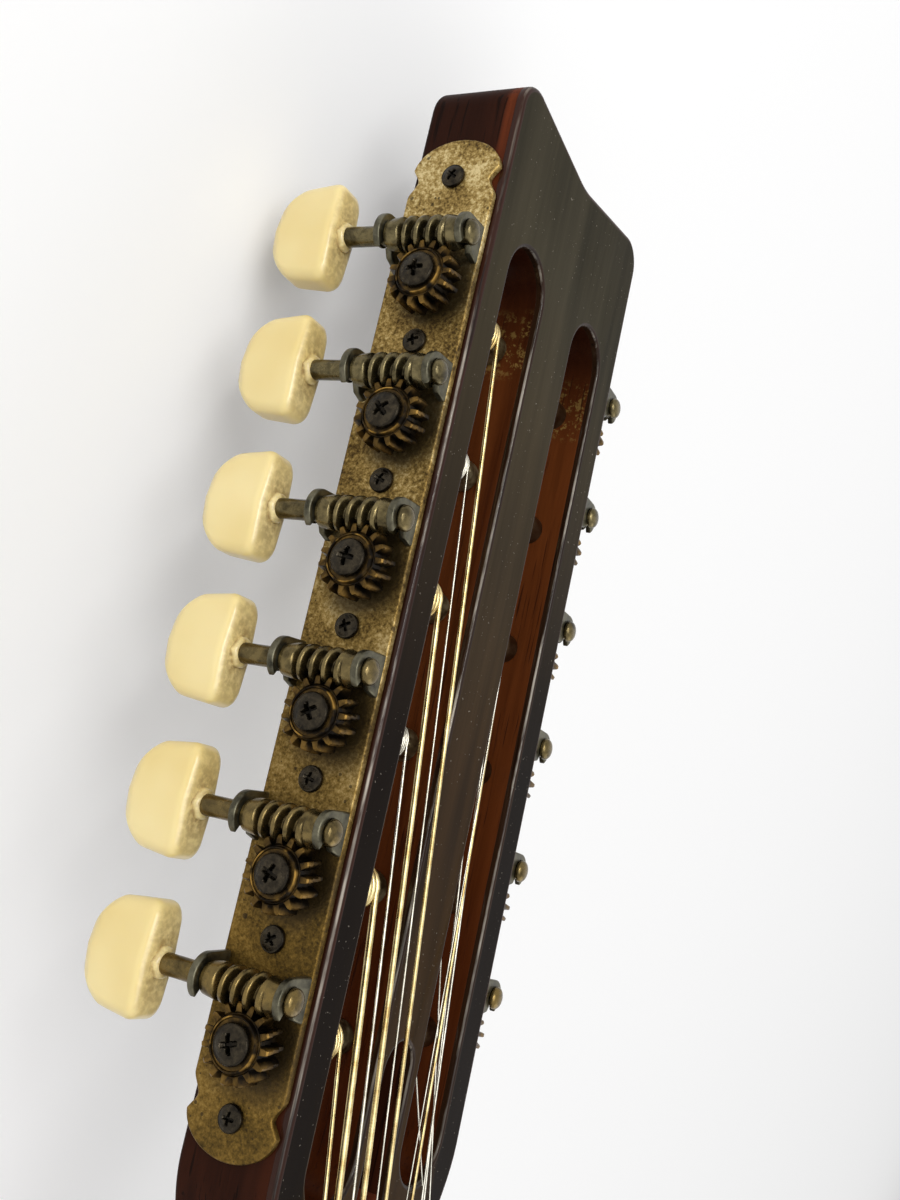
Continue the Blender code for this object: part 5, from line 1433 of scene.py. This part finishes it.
def makeFingerboard():
    # Board with softened long edges, then a crowned wire on each fret place
    s = boardSizes
    low, high = seat, seat + s["thickness"]
    end = fretPlace(guitarSizes["frets"]) - s["overhang"]
    y = np.linspace(nutFront - 0.0003, end, 60)
    half = neckHalfAt(y)[:, None]
    turn = np.linspace(0, math.pi / 2, 5)
    r = 0.0008
    across = np.concatenate([[0], r * (1 - np.cos(turn)), r * (1 - np.cos(turn))[::-1], [0]])
    height = np.concatenate([[low], high - r + r * np.sin(turn), (high - r + r * np.sin(turn))[::-1], [low]])
    sign = np.concatenate([np.ones(6), -np.ones(6)])
    grid = stacked(sign * (half - across), y[:, None], height)
    makePiece("finger_board", [closedBar(grid)], [boardWood], replaces=["fingerboard"])
    frets, dots = [], []
    arc = np.linspace(0, math.pi, 9)
    for fret in range(1, guitarSizes["frets"] + 1):
        place = fretPlace(fret)
        half = float(neckHalfAt(place)) - 0.0002
        x = np.concatenate([[-half, -half + 0.0006], np.linspace(-half + 0.0015, half - 0.0015, 5),
            [half - 0.0006, half]])
        lift = np.array([0.15, 0.75, 1, 1, 1, 1, 1, 0.75, 0.15])[:, None]
        crown = high + s["fretHeight"] * np.sin(arc)
        grid = stacked(x[:, None], place + s["fretWidth"] / 2 * np.cos(arc), high + (crown - high) * lift)
        under = stacked(x, place, high - 0.0003)[:, None]
        frets.append(closedBar(np.concatenate([grid, under], 1)))
    for fret in s["dots"]:
        middle = (fretPlace(fret) + fretPlace(fret - 1)) / 2
        for x in ((-0.010, 0.010) if fret == 12 else (0,)):
            dots.append(lathe([(0.0032, high - 0.0006), (0.0032, high + 0.00006), (0.0030, high + 0.00007)],
                lambda g, x=x, m=middle: inBody(g + np.array([x, m, 0])), 32))
    makePiece("frets", frets, [fretMetal])
    makePiece("position_dots", dots, [pearl])


nutSizes = {"rise": 0.0006, "under": 0.0003, "slack": 0.00025}


def makeNut():
    # Ochre block with a rounded back edge and a groove under every string
    low, top = seat, stringLow + nutSizes["rise"]
    depth = top - (stringLow - nutSizes["under"])
    x = np.linspace(-1, 1, 260) * headSizes["nutHalf"]
    groove = np.zeros_like(x)
    for name, atNut, atSaddle, side, roller, row in stringPlaces():
        radius = stringDiameters[name] / 2
        open, shut = radius + nutSizes["slack"], radius + 2 * nutSizes["slack"]
        groove = np.maximum(groove, depth * (1 - smoothStep(open, shut, np.abs(x - atNut))))
    y = np.array([nutFront + 0.0003, nutFront + 0.0003, nutFront + 0.0006, nutFront + 0.0030,
        bendPlace - 0.0016, bendPlace - 0.0007, bendPlace - 0.0003, bendPlace - 0.0003])
    drop = np.array([9, 0.0003, 0, 0, 0.0002, 0.0007, 0.0014, 9])
    height = np.where(drop > 1, low, top - groove[:, None] * (drop < 1) - np.minimum(drop, 1) * (drop < 1))
    grid = stacked(x[:, None], y, np.maximum(height, low))
    makePiece("nut_block", [closedBar(grid)], [boneFinish], replaces=["nut"], angle=45)


def makeStrings():
    # From the pin over the saddle and the nut into the slot, some turns round the roller, and a cut tail
    s, over = stringSizes, stringLow
    saddleTop = bridgeSizes["height"] + bridgeSizes["saddleRise"] + 0.0003
    for name, atNut, atSaddle, side, roller, row in stringPlaces():
        radius = stringDiameters[name] / 2
        pin = saddlePlace - bridgeSizes["pinRows"][row]
        lift = saddleTop + radius
        straight = inBody([(atSaddle, pin, 0.002), (atSaddle, pin, bridgeSizes["height"] - 0.0010),
            (atSaddle, pin + 0.0008, bridgeSizes["height"] + 0.0002 + radius),
            (atSaddle, pin + 0.0022, bridgeSizes["height"] + 0.0010 + radius),
            (atSaddle, saddlePlace - 0.0019, lift - 0.0004), (atSaddle, saddlePlace - 0.0009, lift),
            (atSaddle, saddlePlace + 0.0009, lift), (atNut, nutFront - 0.0005, over + radius),
            (atNut, bendPlace - 0.0006, over + radius), (atNut, bendPlace + 0.0004, over + radius - 0.0001)])
        wrap = s["wrapRadius"] + radius + s["offRoller"]
        pitch = 2 * radius + s["wrapGap"]
        turns = s["thickTurns"] if radius > s["thickFrom"] else s["thinTurns"]
        turn = s["leaves"] - np.linspace(0, 2 * math.pi * turns, int(24 * turns))
        out = s["firstWrap"] + pitch * (s["leaves"] - turn) / (2 * math.pi)
        coil = stacked(side * out, rollerPlaces[roller] + wrap * np.cos(turn),
            -gearDepth + wrap * np.sin(turn))
        last, away = coil[-1], (coil[-1] - coil[-2]) / np.linalg.norm(coil[-1] - coil[-2])
        tail = np.stack([last + away * step + np.array([side * 0.0004, 0, 0.0]) * step / 0.001
            for step in (0.0008, 0.0018, 0.003)])
        path = np.concatenate([straight, inHead(coil), inHead(tail)])
        wound = radius > s["woundFrom"]
        makePiece("wire_" + name, [tube(path, radius, 14 if wound else 10)],
            [woundWire if wound else plainWire], replaces=["string_" + name],
            angle=60)


def makeEndPin():
    profile = [(0.0, -0.018), (0.0036, -0.018), (0.0040, -0.012), (0.0040, 0.0004), (0.0066, 0.0004),
        (0.0070, 0.0010), (0.0068, 0.0022), (0.0056, 0.0040), (0.0046, 0.0060), (0.0045, 0.0078),
        (0.0055, 0.0095), (0.0070, 0.0108), (0.0075, 0.0122), (0.0073, 0.0138), (0.0062, 0.0148),
        (0.0045, 0.0150)]
    height = -bodySizes["depthTail"] * 0.52

    def place(grid):
        a, b, out = np.moveaxis(grid, -1, 0)
        return inBody(stacked(a, -bodySizes["length"] - seat - out, height + b))
    makePiece("strap_pin", [lathe(profile, place, 40)], [pinPlastic], replaces=["end_pin"])


for make in (makeTop, makeSides, makeBack, makeBinding, makeRosette, makePickguard, makeBridge, makeSaddle,
        makePins, makeFingerboard, makeNut, makeStrings, makeEndPin):
    make()


# Nodes of the frame that stay as they are get their finish

keptNodes = (
    (bareWood, "top_lining_treble top_lining_bass back_lining_treble back_lining_bass x_brace upper_brace"),
    (blockWood, "neck_block tail_block"),
    (plateWood, "bridge_plate"),
    (rodSteel, "truss_rod"),
)
for finish, nodes in keptNodes:
    for node in nodes.split():
        for held in bpy.data.objects[node].material_slots:
            held.material = finish
print("body, neck fittings and strings made")


bpy.context.scene.view_settings.view_transform = "Standard"
